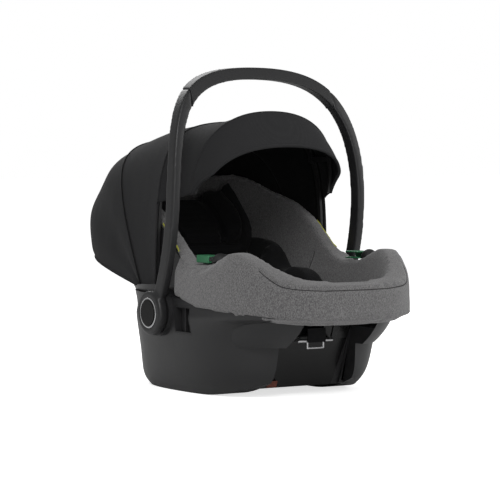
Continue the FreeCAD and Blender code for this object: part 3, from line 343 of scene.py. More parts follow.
def moulded_grain(net, grain, gloss):
    """Fine moulded grain: a height, and a roughness that drifts over the surface."""
    place = net.place()
    cells = net.node("TexVoronoi", {"Scale": grain, "Vector": place})["Distance"]
    drift = net.math("MULTIPLY_ADD", net.noise(place, 9.0), 0.14, -0.07)
    speck = net.math("MULTIPLY", net.noise(place, 420.0, 2.0), 0.05)
    return {"Height": cells, "Roughness": net.math("ADD", net.math("ADD", gloss, drift), speck)}


def edge_wear(net, base, wear):
    """Paler worn edges and fine dust on a moulded colour."""
    pointed = net.node("NewGeometry")["Pointiness"]
    edge = net.node("MapRange", {"Value": pointed, "From Min": 0.56, "From Max": 0.75})[0]
    dust = net.noise(net.place(), 35.0, 4.0, 0.65)
    amount = net.math("MULTIPLY", net.math("MULTIPLY", edge, dust), wear)
    pale = net.node("HueSaturation", {"Color": base, "Value": 1.8})[0]
    cloud = net.math("MULTIPLY", net.noise(net.place(), 6.0, 2.0), 0.12)
    return {"Color": net.mix(cloud, net.mix(amount, base, pale), (0.0, 0.0, 0.0))}


def recess_mask(net, foot_width, spread, top, back):
    """1 in the hollow at the shell's front, where shade is painted, 0 on its outer skin."""
    x, y, z = net.axes()
    width = net.math("SUBTRACT", net.math("ABSOLUTE", x), net.math("MULTIPLY", z, spread))
    inside, below, ahead = (net.math("LESS_THAN", value, limit)
                            for value, limit in ((width, foot_width), (z, top), (y, back)))
    return {"Mask": net.math("MULTIPLY", net.math("MULTIPLY", inside, below), ahead)}


# Each shared group's maker, and its inputs with their defaults.
GROUPS = {
    "Weave": (weave, {"Thread": 0.001}),
    "Melange": (melange, {"Light": WHITE, "Dark": (0.2, 0.2, 0.2, 1.0), "Rib": 0.0016}),
    "Cloth Tone": (cloth_tone, {"Base": (0.1, 0.1, 0.1, 1.0), "Thread": 0.5, "Variation": 0.25}),
    "Moulded Grain": (moulded_grain, {"Grain": 900.0, "Gloss": 0.45}),
    "Edge Wear": (edge_wear, {"Base": (0.1, 0.1, 0.1, 1.0), "Wear": 0.3}),
    "Recess Mask": (recess_mask, {"Foot Width": 0.062, "Spread": 0.14, "Top": 0.136, "Back": -0.15}),
}


def new_group(name):
    """Shared shader group with named sockets."""
    maker, inputs = GROUPS[name]
    group = bpy.data.node_groups.new(name, "ShaderNodeTree")

    def add_socket(label, way, coloured):
        kind = "NodeSocketColor" if coloured else "NodeSocketFloat"
        return group.interface.new_socket(label, in_out=way, socket_type=kind)

    for label, default in inputs.items():
        add_socket(label, "INPUT", isinstance(default, tuple)).default_value = default
    source = group.nodes.new("NodeGroupInput").outputs
    results = maker(Net(group), *(source[label] for label in inputs))
    for label in results:
        add_socket(label, "OUTPUT", label == "Color")
    target = group.nodes.new("NodeGroupOutput").inputs
    for label, socket in results.items():
        group.links.new(socket, target[label])
    return group


def look(name, wire):
    """The named material; wire makes its nodes in a Net and gives its shader's inputs by name."""
    name = "look_" + name
    material = bpy.data.materials.get(name)
    if material is None:
        material = bpy.data.materials.new(name)
        material.use_nodes = True
        net = Net(material.node_tree)
        shader = net.tree.nodes["Principled BSDF"]
        for label, value in wire(net).items():
            net.feed(shader.inputs[label], value)
    return material


def melange_knit():
    fabrics = settings().fabrics

    def wire(net):
        knit = net.group("Melange", Light=fabrics.melange_light, Dark=fabrics.melange_dark,
                         Rib=fabrics.knit_size)
        height = net.math("ADD", knit["Height"], net.group("Weave", Thread=fabrics.knit_size)["Height"])
        return {"Base Color": knit["Color"], "Roughness": knit["Roughness"],
                "Normal": net.bump(height, 0.0006), "Sheen Weight": 0.25, "Sheen Roughness": 0.6,
                "Specular IOR Level": 0.2}
    return look("melange_knit", wire)


def plain_cloth(name, colour, thread, bump=0.0003, sheen=0.03, variation=0.25):
    """Dyed woven cloth with slow changes of tone."""
    def wire(net):
        woven = net.group("Weave", Thread=thread)
        tone = net.group("Cloth Tone", Base=colour, Thread=woven["Mask"], Variation=variation)
        return {"Base Color": tone["Color"], "Roughness": tone["Roughness"],
                "Normal": net.bump(woven["Height"], bump), "Sheen Weight": sheen, "Sheen Roughness": 0.5,
                "Specular IOR Level": 0.1}
    return look(name, wire)


def moulded_plastic(name, colour, gloss=0.45, grain=900.0, wear=0.0, bump=0.0001, coat=0.0, shine=0.35,
                    relief=0.35, metallic=0.0):
    """Injection-moulded plastic with a fine grain and slightly worn edges."""
    def wire(net):
        skin = net.group("Moulded Grain", Grain=grain, Gloss=gloss)
        return {"Base Color": net.group("Edge Wear", Base=colour, Wear=wear)["Color"],
                "Roughness": skin["Roughness"], "Normal": net.bump(skin["Height"], bump, relief),
                "Coat Weight": coat, "Specular IOR Level": shine, "Metallic": metallic}
    return look(name, wire)


def bare_metal(name, colour, gloss):
    return moulded_plastic(name, colour, gloss, grain=1500.0, wear=0.15, shine=0.5, relief=0.15,
                           metallic=1.0)


def trim_plastic():
    return moulded_plastic("trim_plastic", TRIM_BLACK, gloss=0.5)


def paint_recess_shade(material):
    """Paint shade into a plastic's colour in the shell's front recess, and make it glossier there."""
    net = Net(material.node_tree)
    mask = net.group("Recess Mask")["Mask"]
    base, rough = (net.tree.nodes["Principled BSDF"].inputs[label] for label in ("Base Color", "Roughness"))
    net.feed(base, net.mix(mask, base.links[0].from_socket, RECESS_PAINTED_SHADE))
    net.feed(rough, net.math("MULTIPLY_ADD", mask, -0.2, rough.links[0].from_socket))


# ---- mesh helpers --------------------------------------------------------------------------
def link_mesh(name, mesh, body, material):
    piece = bpy.data.objects.new(name, mesh)
    bpy.context.collection.objects.link(piece)
    finish(mesh, material)
    mesh.shade_smooth()
    if body:
        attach(piece, body)
    return piece


def finish(mesh, material):
    """Give a mesh one material."""
    mesh.materials.clear()
    mesh.materials.append(material)


def mesh_of(shape, name):
    """Mesh with a bmesh's shape, which is freed."""
    mesh = bpy.data.meshes.new(name)
    shape.to_mesh(mesh)
    shape.free()
    return mesh


def modify(piece, kind, **values):
    """Add a modifier with its settings, which settle() makes final."""
    modifier = piece.modifiers.new(kind.title(), kind)
    for name, value in values.items():
        setattr(modifier, name, value)
    return modifier


def settle(piece):
    """Give the piece the mesh that its modifiers make, and drop them."""
    view = bpy.context.evaluated_depsgraph_get()
    mesh = bpy.data.meshes.new_from_object(piece.evaluated_get(view))
    piece.modifiers.clear()
    piece.data = mesh
    mesh.shade_smooth()
    return piece


def skin_of(piece):
    """A piece's surface as it stands, to cast rays on and measure from."""
    return BVHTree.FromObject(piece, bpy.context.evaluated_depsgraph_get())


def cast(piece, starts, direction):
    """Points where parallel rays meet a piece's surface."""
    tree = skin_of(piece)
    hits = [tree.ray_cast(Vector(start), Vector(direction))[0] for start in starts]
    return [hit for hit in hits if hit is not None]


def copy_of(nodes, name, material):
    """New piece with the meshes of CAD nodes, which it stands for, riding on the first one's body."""
    nodes = [nodes] if isinstance(nodes, str) else nodes
    joined = bmesh.new()
    for node in nodes:
        joined.from_mesh(frame["nodes"][node].data)
    piece = link_mesh(name, mesh_of(joined, name), None, material)
    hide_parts(*nodes)
    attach(piece, body_of(frame["nodes"][nodes[0]])[0])
    return piece


def read(items, name):
    flat = np.empty(len(items) * 3)
    items.foreach_get(name, flat)
    return flat.reshape(-1, 3)


def points_of(mesh):
    return read(mesh.vertices, "co")


def normals_of(mesh):
    return read(mesh.vertex_normals, "vector")


def put_points(mesh, points):
    mesh.vertices.foreach_set("co", np.asarray(points, float).ravel())
    mesh.update()


def even_out(piece, voxel, rounds, inward=0.0):
    """Remesh a piece evenly, round its edges and draw its skin in."""
    modify(piece, "REMESH", mode="VOXEL", voxel_size=voxel)
    modify(piece, "SMOOTH", factor=0.5, iterations=rounds)
    settle(piece)
    put_points(piece.data, points_of(piece.data) - normals_of(piece.data) * inward)
    return piece


def soften(piece, voxel, swell, shrink=0.0, rounds=6, keep=None):
    """Even out a soft piece and fill it with cloth pressure; no point ends further than swell away.

    keep gives 1 for each point that has to stay where it is, clear of a piece that slides past it.
    """
    even_out(piece, voxel, rounds)
    start = points_of(piece.data)
    put_points(piece.data, start - normals_of(piece.data) * shrink)
    held = keep(start) if keep else np.zeros(len(start))
    fill(piece, start, swell * (1.0 - held) + KEEP_SLACK * held)
    modify(piece, "SUBSURF", levels=1, render_levels=1)
    return settle(piece)


def fill(piece, start, swell):
    """Inflate a closed mesh with cloth pressure; each point ends within its own swell of its start."""
    padding = settings().padding
    scene = bpy.context.scene
    cloth = modify(piece, "CLOTH")
    cloth.settings.effector_weights.gravity = 0.0
    for name, value in (("quality", 4), ("use_pressure", True), ("uniform_pressure_force", padding.pressure),
                        ("tension_stiffness", 20), ("compression_stiffness", 20)):
        setattr(cloth.settings, name, value)
    cloth.point_cache.frame_start = 1
    cloth.point_cache.frame_end = padding.steps
    for step in range(1, padding.steps + 1):
        scene.frame_set(step)
    settle(piece)
    scene.frame_set(1)
    moved = points_of(piece.data) - start
    length = np.maximum(np.linalg.norm(moved, axis=1), 1e-9)
    put_points(piece.data, start + moved * np.minimum(1.0, swell / length)[:, None])


def press_seam(piece, path, width, depth):
    """Pull a padded surface in along a path, as a line of stitching does."""
    tree = KDTree(len(path))
    for index, point in enumerate(path):
        tree.insert(point, index)
    tree.balance()
    points = points_of(piece.data)
    normals = normals_of(piece.data)
    for index, point in enumerate(points):
        distance = tree.find(Vector(point))[2]
        if distance < width:
            share = 0.5 + 0.5 * math.cos(math.pi * distance / width)
            points[index] = point - normals[index] * depth * share
    put_points(piece.data, points)


def tube(name, path, radius, body, material, sides=8, flat=1.0):
    """Mesh tube along a path, such as piping or a seam's cord; flat stretches it sideways."""
    mesh = bmesh.new()
    last = len(path) - 1
    turns = [2 * math.pi * k / sides for k in range(sides)]
    rings = []
    for index, point in enumerate(path):
        along = (path[min(index + 1, last)] - path[max(index - 1, 0)]).normalized()
        across = along.cross(Vector((0.0, 0.0, 1.0)))
        if across.length < 0.1:
            across = along.cross(Vector((1.0, 0.0, 0.0)))
        across.normalize()
        over = across.cross(along).normalized()
        rings.append([mesh.verts.new(point + across * math.cos(turn) * radius * flat
                                     + over * math.sin(turn) * radius) for turn in turns])
    for first, second in zip(rings, rings[1:]):
        for k in range(sides):
            mesh.faces.new((first[k], first[(k + 1) % sides], second[(k + 1) % sides], second[k]))
    mesh.faces.new(rings[0][::-1])
    mesh.faces.new(rings[-1])
    bmesh.ops.recalc_face_normals(mesh, faces=mesh.faces)
    return link_mesh(name, mesh_of(mesh, name), body, material)


# ---- hood ----------------------------------------------------------------------------------
def bezier(values, t):
    a, b, c, d = values
    back = 1 - t
    return a * back ** 3 + 3 * b * back * back * t + 3 * c * back * t * t + d * t ** 3


def arch_point(station, square, t):
    """Point on a hood arch, from its right foot at t 0 over the crown to its left foot at t 1."""
    base_y, base_z, crown_y, crown_z, half_w = station
    side = 1.0 if t < 0.5 else -1.0
    share = 2 * t if t < 0.5 else 2 - 2 * t
    across = bezier((half_w, half_w, half_w * square, 0.0), share)
    rise = bezier((0.0, square, 1.0, 1.0), share)
    return Vector((side * across, base_y + (crown_y - base_y) * rise,
                   base_z + (crown_z - base_z) * rise)) * MM


def spline_point(points, u):
    """Point at u along a smooth line through points; u counts points."""
    last = len(points) - 1
    index = min(int(u), last - 1)
    t = u - index
    p1, p2 = points[index], points[index + 1]
    p0 = points[index - 1] if index else p1 * 2 - p2
    p3 = points[index + 2] if index + 2 <= last else p2 * 2 - p1
    return 0.5 * (2 * p1 + (p2 - p0) * t + (2 * p0 - 5 * p1 + 4 * p2 - p3) * t * t
                  + (3 * p1 - p0 - 3 * p2 + p3) * t ** 3)


def hood_cloths():
    """Outside and lining of the hood."""
    fabrics = settings().fabrics
    return [plain_cloth(name, colour, fabrics.weave_size)
            for name, colour in (("canopy_cloth", fabrics.canopy), ("canopy_lining", fabrics.canopy_lining))]


def piping(name, line, lift, share, body, material):
    """Round edge along a panel's line; share scales the piping's radius."""
    radius = settings().fabrics.piping_radius * share
    tube(name, line_path(line, lift), radius, body, material)


def hood_panel(name, node, lines, rows, columns, shape):
    """Sewn hood panel through arch lines, for a CAD skin; shape gives how far inside them each point lies."""
    grid = [[spline_point([arch(column / columns) for arch in lines], row / rows * (len(lines) - 1))
             for column in range(columns + 1)] for row in range(rows + 1)]

    def normal(row, column):
        ahead = grid[min(row + 1, rows)][column] - grid[max(row - 1, 0)][column]
        along = grid[row][min(column + 1, columns)] - grid[row][max(column - 1, 0)]
        return along.cross(ahead).normalized()

    outward = 1.0 if normal(rows // 2, columns // 2).z > 0 else -1.0
    mesh = bmesh.new()
    verts = [[mesh.verts.new(point - normal(row, column) * outward
                             * shape(row / rows, column / columns, point))
              for column, point in enumerate(line)] for row, line in enumerate(grid)]
    for near, far in zip(verts, verts[1:]):
        for column in range(columns):
            mesh.faces.new((near[column], near[column + 1], far[column + 1], far[column]))
    bmesh.ops.recalc_face_normals(mesh, faces=mesh.faces)
    mesh.normal_update()
    crown = max(mesh.faces, key=lambda face: face.calc_center_median().z)
    if crown.normal.z < 0:
        bmesh.ops.reverse_faces(mesh, faces=mesh.faces)
    cloth, lining = hood_cloths()
    piece = link_mesh(name, mesh_of(mesh, name), None, cloth)
    piece.data.materials.append(lining)
    modify(piece, "SOLIDIFY", thickness=settings().fabrics.cloth_thickness, offset=-1.0, material_offset=1,
           material_offset_rim=0)
    settle(piece)
    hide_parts(node)
    return piece


def arch_line(station, square, start=0.0):
    """An arch as a function from 0 to 1, with a share of it left out at each foot."""
    return lambda t: arch_point(station, square, start + (1.0 - 2.0 * start) * t)


def visor_edge(t):
    """The visor's front edge, which turns back to the visor's bow at both feet."""
    foot = min(1.0, min(t, 1.0 - t) / VISOR_CORNER)
    share = 0.12 + 0.88 * math.sin(0.5 * math.pi * foot)
    return arch_point(VISOR_BOW, VISOR_SQUARE, t).lerp(arch_point(VISOR_EDGE, VISOR_SQUARE, t), share)


def line_path(line, lift, count=72):
    """Points along an arch's line, lifted off the cloth."""
    foot = line(0.0)
    middle = Vector((0.0, foot.y, foot.z))
    points = [line(index / count) for index in range(count + 1)]
    return [point + (point - middle).normalized() * lift for point in points]


def folds(point, strength):
    """Soft creases that run down towards the hood's pivots."""
    spread = Vector((point.x * 9.0, point.y * 16.0, point.z * 5.0))
    fine = Vector((point.x * 30.0, point.y * 42.0, point.z * 14.0))
    return strength * (0.75 * noise.noise(spread) + 0.25 * noise.noise(fine))


def drape(sag, crease):
    """Shape of a panel that lies inside its lines at its middle by a sag, and has creases there."""
    def shape(u, t, point):
        share = math.sin(math.pi * u)
        return sag * share + folds(point, crease * share)
    return shape


def near_foot(t):
    """1 at the arch's feet, 0 over its upper half."""
    share = 2 * t if t < 0.5 else 2 - 2 * t
    return max(0.0, 1.0 - share / 0.55)


class CARSEAT_OT_canopy(bpy.types.Operator):
    """Main and rear panels of the hood with their piping"""
    bl_idname = "carseat.canopy"
    bl_label = "Canopy"

    def execute(self, context):
        fabrics = settings().fabrics
        cloth = hood_cloths()[0]
        dark = plain_cloth("canopy_piping", fabrics.canopy_lining, fabrics.weave_size, 0.0002, 0.1)

        def main_shape(u, t, point):
            sag = 0.0045 * math.sin(math.pi * u) * (1 - 0.6 * near_foot(t))
            return sag + folds(point, 0.0022 * math.sin(math.pi * u)) + 0.0012 * near_foot(t)

        def rear_shape(u, t, point):
            valley = 0.004 * math.exp(-((u - 0.36) / 0.13) ** 2)
            return valley + folds(point, 0.0032 * math.sin(math.pi * u)) + 0.0008

        main_lines, rear_lines = ([arch_line(station, HOOD_SQUARE) for station in stations] for stations in (
            (MAIN_BOW, MAIN_MID, REAR_SEAM), (REAR_SEAM, REAR_UPPER, REAR_LOWER, REAR_TURN, REAR_EDGE)))
        main = hood_panel("canopy_main", "hood_main_skin", main_lines, 36, 120, main_shape)
        rear = hood_panel("canopy_rear", "hood_rear_skin", rear_lines, 72, 120, rear_shape)
        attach(rear, "shell")
        piping("canopy_seam_piping", rear_lines[0], 0.0004, 1.0, "shell", dark)
        piping("canopy_rear_hem", rear_lines[-1], -0.0008, 1.3, "shell", cloth)
        piping("canopy_bow_piping", main_lines[0], 0.0002, 1.0, "hood", cloth)
        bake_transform(main, "shell", "hood", *HOOD_STRETCH)
        return {"FINISHED"}


class CARSEAT_OT_visor(bpy.types.Operator):
    """Front panel and stiffened visor of the hood"""
    bl_idname = "carseat.visor"
    bl_label = "Visor"

    def execute(self, context):
        visor_back = arch_line(VISOR_BOW, VISOR_SQUARE)
        lines = (visor_back, arch_line(MAIN_BOW, HOOD_SQUARE, FRONT_PANEL_START))
        front = hood_panel("hood_front_panel", "hood_front_skin", lines, 20, 110, drape(0.0025, 0.0012))
        lines = (visor_edge, visor_back)
        visor = hood_panel("visor_panel", "visor_skin", lines, 24, 110, drape(-0.0015, 0.0006))
        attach(visor, "visor")
        cloth = hood_cloths()[0]
        piping("visor_piping", visor_back, 0.0, 0.7, "visor", cloth)
        piping("visor_hem", visor_edge, -0.002, 1.8, "visor", cloth)
        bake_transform(front, "hood", "visor", *VISOR_STRETCH)
        return {"FINISHED"}


# ---- padding -------------------------------------------------------------------------------
def seam_thread():
    dark = settings().fabrics.melange_dark
    return plain_cloth("seam_thread", tuple(c * 0.45 for c in dark), 0.0006)


def sew(name, piece, path, width, depth, radius, material):
    """Press a seam into padding along a path and lay its thread on it."""
    press_seam(piece, path, width, depth)
    pressed = skin_of(piece)
    seam = tube(name, [pressed.find_nearest(point)[0] for point in path], radius, "shell", material, sides=6)


def heading(turn):
    """Level direction at an angle round the seat's front, in radians."""
    return Vector((math.sin(turn), -math.cos(turn), 0.0))


def rim_height(y):
    """Height of the rim's top line at a place along the seat, in metres."""
    y = y / MM
    for index in range(len(RIM_LINE) - 1):
        if RIM_LINE[index][0] <= y <= RIM_LINE[index + 1][0]:
            break
    points = [Vector((0.0, p[0], p[1])) for p in RIM_LINE]
    low, high = 0.0, 1.0
    for _ in range(30):
        middle = (low + high) / 2
        if spline_point(points, index + middle).y < y:
            low = middle
        else:
            high = middle
    return spline_point(points, index + low).z * MM


def webbing():
    return plain_cloth("webbing", settings().fabrics.webbing, 0.0011, 0.0005, 0.02)


def pad_cloth():
    return plain_cloth("pad_cloth", settings().fabrics.pads, 0.0012, 0.0004, 0.05)


def add_oval(shape, centre, axes, sizes):
    """Add a ball to a bmesh, stretched to half sizes along its axes."""
    for vert in bmesh.ops.create_icosphere(shape, subdivisions=4, radius=1.0)["verts"]:
        place = vert.co.copy()
        vert.co = centre
        for axis, share, size in zip(axes, place, sizes):
            vert.co += axis * share * size


class CARSEAT_OT_rim(bpy.types.Operator):
    """Padded melange cover over the rim and the hollow, with the rim's seam"""
    bl_idname = "carseat.rim"
    bl_label = "Rim"

    def execute(self, context):
        rim = copy_of(["rim_cover", "seat_cover"], "rim_padding", melange_knit())
        soften(rim, 0.005, settings().padding.rim_swell, rounds=5)
        self.turn_down(rim)
        path = self.seam_path(rim)
        sew("rim_seam", rim, path, 0.009, settings().fabrics.seam_depth, 0.0008, seam_thread())
        return {"FINISHED"}

    def lower_edge(self, tree, outward):
        """Height and radius of the rim's lower edge in one direction from its centre."""
        (height, lowest), radius = HEM_LEVELS, None
        while height > lowest:
            probe = Vector((0.0, RIM_CENTRE, height)) + outward * PROBE
            distance = tree.ray_cast(probe, -outward)[3]
            if distance is None or (radius is not None and PROBE - distance < radius - HEM_NOTCH):
                break
            radius = PROBE - distance
            height -= 0.001
        return height, radius

    def turn_down(self, rim):
        """Stretch the rim's lower edge down over the shell's edge, all round the seat's front."""
        tree = skin_of(rim)
        hems = [self.lower_edge(tree, heading(math.radians(2 * HEM_TURN * step / HEM_PROBES - HEM_TURN)))
                for step in range(HEM_PROBES + 1)]
        even = [np.mean(hems[max(0, step - HEM_BLUR):step + HEM_BLUR + 1], axis=0)
                for step in range(HEM_PROBES + 1)]
        points = points_of(rim.data)
        for index, (x, y, z) in enumerate(points):
            turn = math.degrees(math.atan2(x, RIM_CENTRE - y))
            left = HEM_TURN - 1 - abs(turn)
            if left < 0:
                continue
            height, radius = even[round((turn + HEM_TURN) / (2 * HEM_TURN) * HEM_PROBES)]
            above = z - height
            reach = math.hypot(x, y - RIM_CENTRE)
            if above < HEM_REACH and reach > radius - HEM_SKIN:
                share = (1.0 - max(0.0, above) / HEM_REACH) ** 2 * min(1.0, left / HEM_FADE)
                spread = 1.0 + HEM_SPREAD * share / reach
                points[index] = (x * spread, RIM_CENTRE + (y - RIM_CENTRE) * spread, z - HEM_DROP * share)
        put_points(rim.data, points)

    def seam_path(self, rim):
        """Line round the rim's front that comes down from its top edge at both ends."""
        tree = skin_of(rim)
        path = []
        for step in range(SEAM_POINTS + 1):
            turn = SEAM_REACH * (2 * step / SEAM_POINTS - 1)
            outward = heading(math.radians(turn))
            probe = Vector((0.0, RIM_CENTRE, 0.2)) + outward * PROBE
            side = tree.ray_cast(probe, -outward)[0]
            drop = 0.001 + SEAM_DROP * min(1.0, (SEAM_REACH - abs(turn)) / SEAM_RISE)
            probe.z = rim_height(side.y + 0.006) - drop
            found = tree.ray_cast(probe, -outward)[0]
            if found is not None:
                path.append(found)
        return path


class CARSEAT_OT_insert(bpy.types.Operator):
    """Newborn insert with raised bolsters, headrest padding and head pillow"""
    bl_idname = "carseat.insert"
    bl_label = "Insert and headrest padding"

    def execute(self, context):
        black = plain_cloth("insert_cloth", settings().fabrics.insert, 0.0012, 0.0004, 0.05)
        insert = copy_of("infant_insert", "newborn_insert", black)
        self.pad(insert, 14, 0.6, self.beside_headrest)
        headrest = copy_of(["headrest_shell", "headrest_pad"], "headrest_padding", pad_cloth())
        self.stretch_up(headrest)
        self.pad(headrest, 24, 0.6, self.outside_of_headrest)
        pillow = copy_of("head_pillow", "crown_pillow", black)
        self.add_lobes(pillow)
        self.stretch_up(pillow)
        self.pad(pillow, 10, 0.7, self.outside_of_headrest, (-PILLOW_SEAM, PILLOW_SEAM))
        return {"FINISHED"}

    def pad(self, piece, rounds, fullness, keep, seams=()):
        """Fill a piece and press its upright seams, each at its place across the seat."""
        soften(piece, 0.004, settings().padding.pad_swell, 0.0005, rounds, keep)
        for x in seams:
            press_seam(piece, self.front_line(piece, x), 0.010, 0.006)

    def headrest_edges(self):
        """Distance up the back of the headrest's foot, and the headrest's half width."""
        shell = points_of(frame["nodes"]["headrest_shell"].data)
        return (shell @ UP_THE_BACK).min(), np.abs(shell[:, 0]).max()

    def beside_headrest(self, points):
        """1 where the insert lies beside or under the headrest's travel."""
        foot = self.headrest_edges()[0] - HEADREST_DOWN
        return ((np.abs(points[:, 0]) < HEADREST_ROOM) & (points @ UP_THE_BACK > foot - 0.008)).astype(float)

    def outside_of_headrest(self, points):
        """1 on the headrest's outer sides and foot, which slide past the insert."""
        foot, side = self.headrest_edges()
        return ((np.abs(points[:, 0]) > side - 0.006) | (points @ UP_THE_BACK < foot + 0.012)).astype(float)

    def stretch_up(self, piece):
        """Let the padding stand over the headrest's upper edge."""
        points = points_of(piece.data)
        height = points @ UP_THE_BACK
        share = np.clip(1.0 - (height.max() - height) / HEAD_STRETCH_REACH, 0.0, 1.0)
        put_points(piece.data, points + UP_THE_BACK * (share * HEAD_STRETCH)[:, None])

    def add_lobes(self, pillow):
        """Join a puffed lobe to each side of the pillow, leaning from the back out to the wing's edge."""
        low, high = (Vector(corner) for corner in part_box("head_pillow"))
        along = Vector(UP_THE_BACK)
        out = Vector((0.0, -math.sin(BACK_RISE), math.cos(BACK_RISE)))
        middle = Vector((0.0, (low.y + high.y) / 2, (low.z + high.z) / 2)) + out * LOBE_PLACE[1] * MM
        joined = bmesh.new()
        joined.from_mesh(pillow.data)
        for side in (-1, 1):
            across = Vector((side, 0.0, 0.0))
            lean = across * math.cos(LOBE_LEAN) + out * math.sin(LOBE_LEAN)
            face = across * -math.sin(LOBE_LEAN) + out * math.cos(LOBE_LEAN)
            add_oval(joined, middle + across * LOBE_PLACE[0] * MM, (along, lean, face),
                     [size * MM for size in LOBE_SIZE])
        joined.to_mesh(pillow.data)
        joined.free()

    def front_line(self, pillow, x):
        """Line up the pillow's front where its middle panel meets a side panel."""
        low, high = (corner[2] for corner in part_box("head_pillow"))
        starts = [(x, PILLOW_PROBE_Y, low + (high - low) * k / PILLOW_STEPS) for k in range(1, PILLOW_STEPS)]
        return cast(pillow, starts, (0.0, 1.0, 0.0))


class CARSEAT_OT_harness(bpy.types.Operator):
    """Webbing, shoulder pads and crotch pad"""
    bl_idname = "carseat.harness"
    bl_label = "Harness"

    def execute(self, context):
        for node in ["crotch_strap", "adjuster_strap"] + both("shoulder_strap", "lap_strap"):
            strap = copy_of(node, f"{node}_webbing", webbing())
            modify(strap, "BEVEL", width=0.0004, segments=2)
            settle(strap)
        for node in ["crotch_pad"] + both("shoulder_pad"):
            pad = copy_of(node, f"{node}_cloth", pad_cloth())
            soften(pad, 0.0025, 0.002, 0.0003, 6)
        return {"FINISHED"}


class CARSEAT_OT_bindings(bpy.types.Operator):
    """Bright tapes on the outside of the wings"""
    bl_idname = "carseat.bindings"
    bl_label = "Bindings"

    def execute(self, context):
        fabrics = settings().fabrics
        lime = plain_cloth("lime_binding", fabrics.binding, 0.0008, 0.0003, 0.1, 0.1)
        for side, sign in zip(SIDES, (1, -1)):
            low, high = (corner[1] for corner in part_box(f"wing_binding_{side}"))
            along = [low + TAPE_SHIFT + (high - low) * step / TAPE_STEPS for step in range(TAPE_STEPS + 1)]
            path = cast(bpy.data.objects["rim_padding"],
                        [(sign * 0.3, y, rim_height(y) - TAPE_DROP) for y in along], (-sign, 0.0, 0.0))
            tape = tube(f"wing_binding_tape_{side}", path, fabrics.tape_width / 2, None, lime, 12, flat=0.35)
            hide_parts(f"wing_binding_{side}")
            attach(tape, "shell")
        return {"FINISHED"}


class CARSEAT_OT_wings(bpy.types.Operator):
    """Elastic loop and cross seam on the inside of each wing"""
    bl_idname = "carseat.wings"
    bl_label = "Wing loops and seams"

    def execute(self, context):
        rim = bpy.data.objects["rim_padding"]
        for side, sign in zip(SIDES, (1, -1)):
            top, foot, place = (Vector((sign * x, y, z)) * MM
                                for x, y, z in (WING_SEAM_TOP, WING_SEAM_FOOT, WING_LOOP))
            tree = skin_of(rim)
            shares = [step / WING_SEAM_STEPS for step in range(WING_SEAM_STEPS + 1)]
            path = [tree.find_nearest(top.lerp(foot, share))[0] for share in shares]
            sew(f"wing_seam_{side}", rim, path, 0.007, 0.0018, 0.0007, seam_thread())
            spot, normal = skin_of(rim).find_nearest(place)[:2]
            slope = Vector((0.0, 1.0, (rim_height(spot.y + 0.01) - rim_height(spot.y - 0.01)) / 0.02))
            along = (slope - normal * slope.dot(normal)).normalized()
            pad = bmesh.new()
            add_oval(pad, spot, (along, normal.cross(along), normal), WING_LOOP_SIZE)
            name = f"wing_loop_{side}"
            link_mesh(name, mesh_of(pad, name), "shell", webbing())
        return {"FINISHED"}


# ---- rigid pieces --------------------------------------------------------------------------
class CARSEAT_OT_handle(bpy.types.Operator):
    """Carry handle and grip with their edges rounded as moulded"""
    bl_idname = "carseat.handle"
    bl_label = "Handle"

    def execute(self, context):
        tones = settings().plastics
        plastic = moulded_plastic("handle_plastic", tones.handle, gloss=0.38, grain=1400.0, bump=0.00002)
        rubber = moulded_plastic("grip_rubber", tones.grip, gloss=0.5, grain=900.0, bump=0.00002)
        handle = even_out(copy_of("handle_frame", "carry_handle", plastic), 0.0022, 14)
        for side in SIDES:
            self.open_well(handle, side)
        grip = even_out(copy_of("handle_grip", "grip_sleeve", rubber), 0.0016, 24, 0.0015)
        return {"FINISHED"}

    def open_well(self, handle, side):
        """Keep the hub's well clear of its button, pressed too."""
        low, high = (np.array(corner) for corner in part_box(f"hub_button_{side}"))
        centre = (low + high) / 2
        radius = (high[1] - low[1]) / 2
        sign = 1.0 if centre[0] > 0 else -1.0
        inner = min(abs(low[0]), abs(high[0]))
        points = points_of(handle.data)
        from_axis = points[:, 1:] - centre[1:]
        distance = np.linalg.norm(from_axis, axis=1)
        depth = points[:, 0] * sign
        near = (depth > inner - 1.5 * WELL_DEPTH) & (distance < radius + WELL_REACH)
        deep = near & (depth < inner + WELL_REACH)
        wall = near & (~deep | (distance > radius - WELL_GAP / 2))
        points[deep, 0] = sign * np.minimum(depth[deep], inner - WELL_DEPTH)
        scale = np.maximum(1.0, (radius + WELL_GAP) / distance[wall])
        points[wall, 1:] = centre[1:] + from_axis[wall] * scale[:, None]
        put_points(handle.data, points)


class CARSEAT_OT_guides(bpy.types.Operator):
    """Rounded green belt guides and the humps beside them"""
    bl_idname = "carseat.guides"
    bl_label = "Belt guides"

    def execute(self, context):
        tone = settings().plastics.guide
        green = moulded_plastic("green_plastic", tone, gloss=0.35, grain=1500.0, wear=0.1)
        for side in SIDES:
            for node, name, material, rounds, slot in (
                    ("belt_guide", "guide_tab", green, 16, "green_plastic"),
                    ("guide_hump", "guide_cap", trim_plastic(), 20, "handle_plastic")):
                piece = copy_of(f"{node}_{side}", f"{name}_{side}", material)
                even_out(piece, 0.0012, rounds)
        return {"FINISHED"}


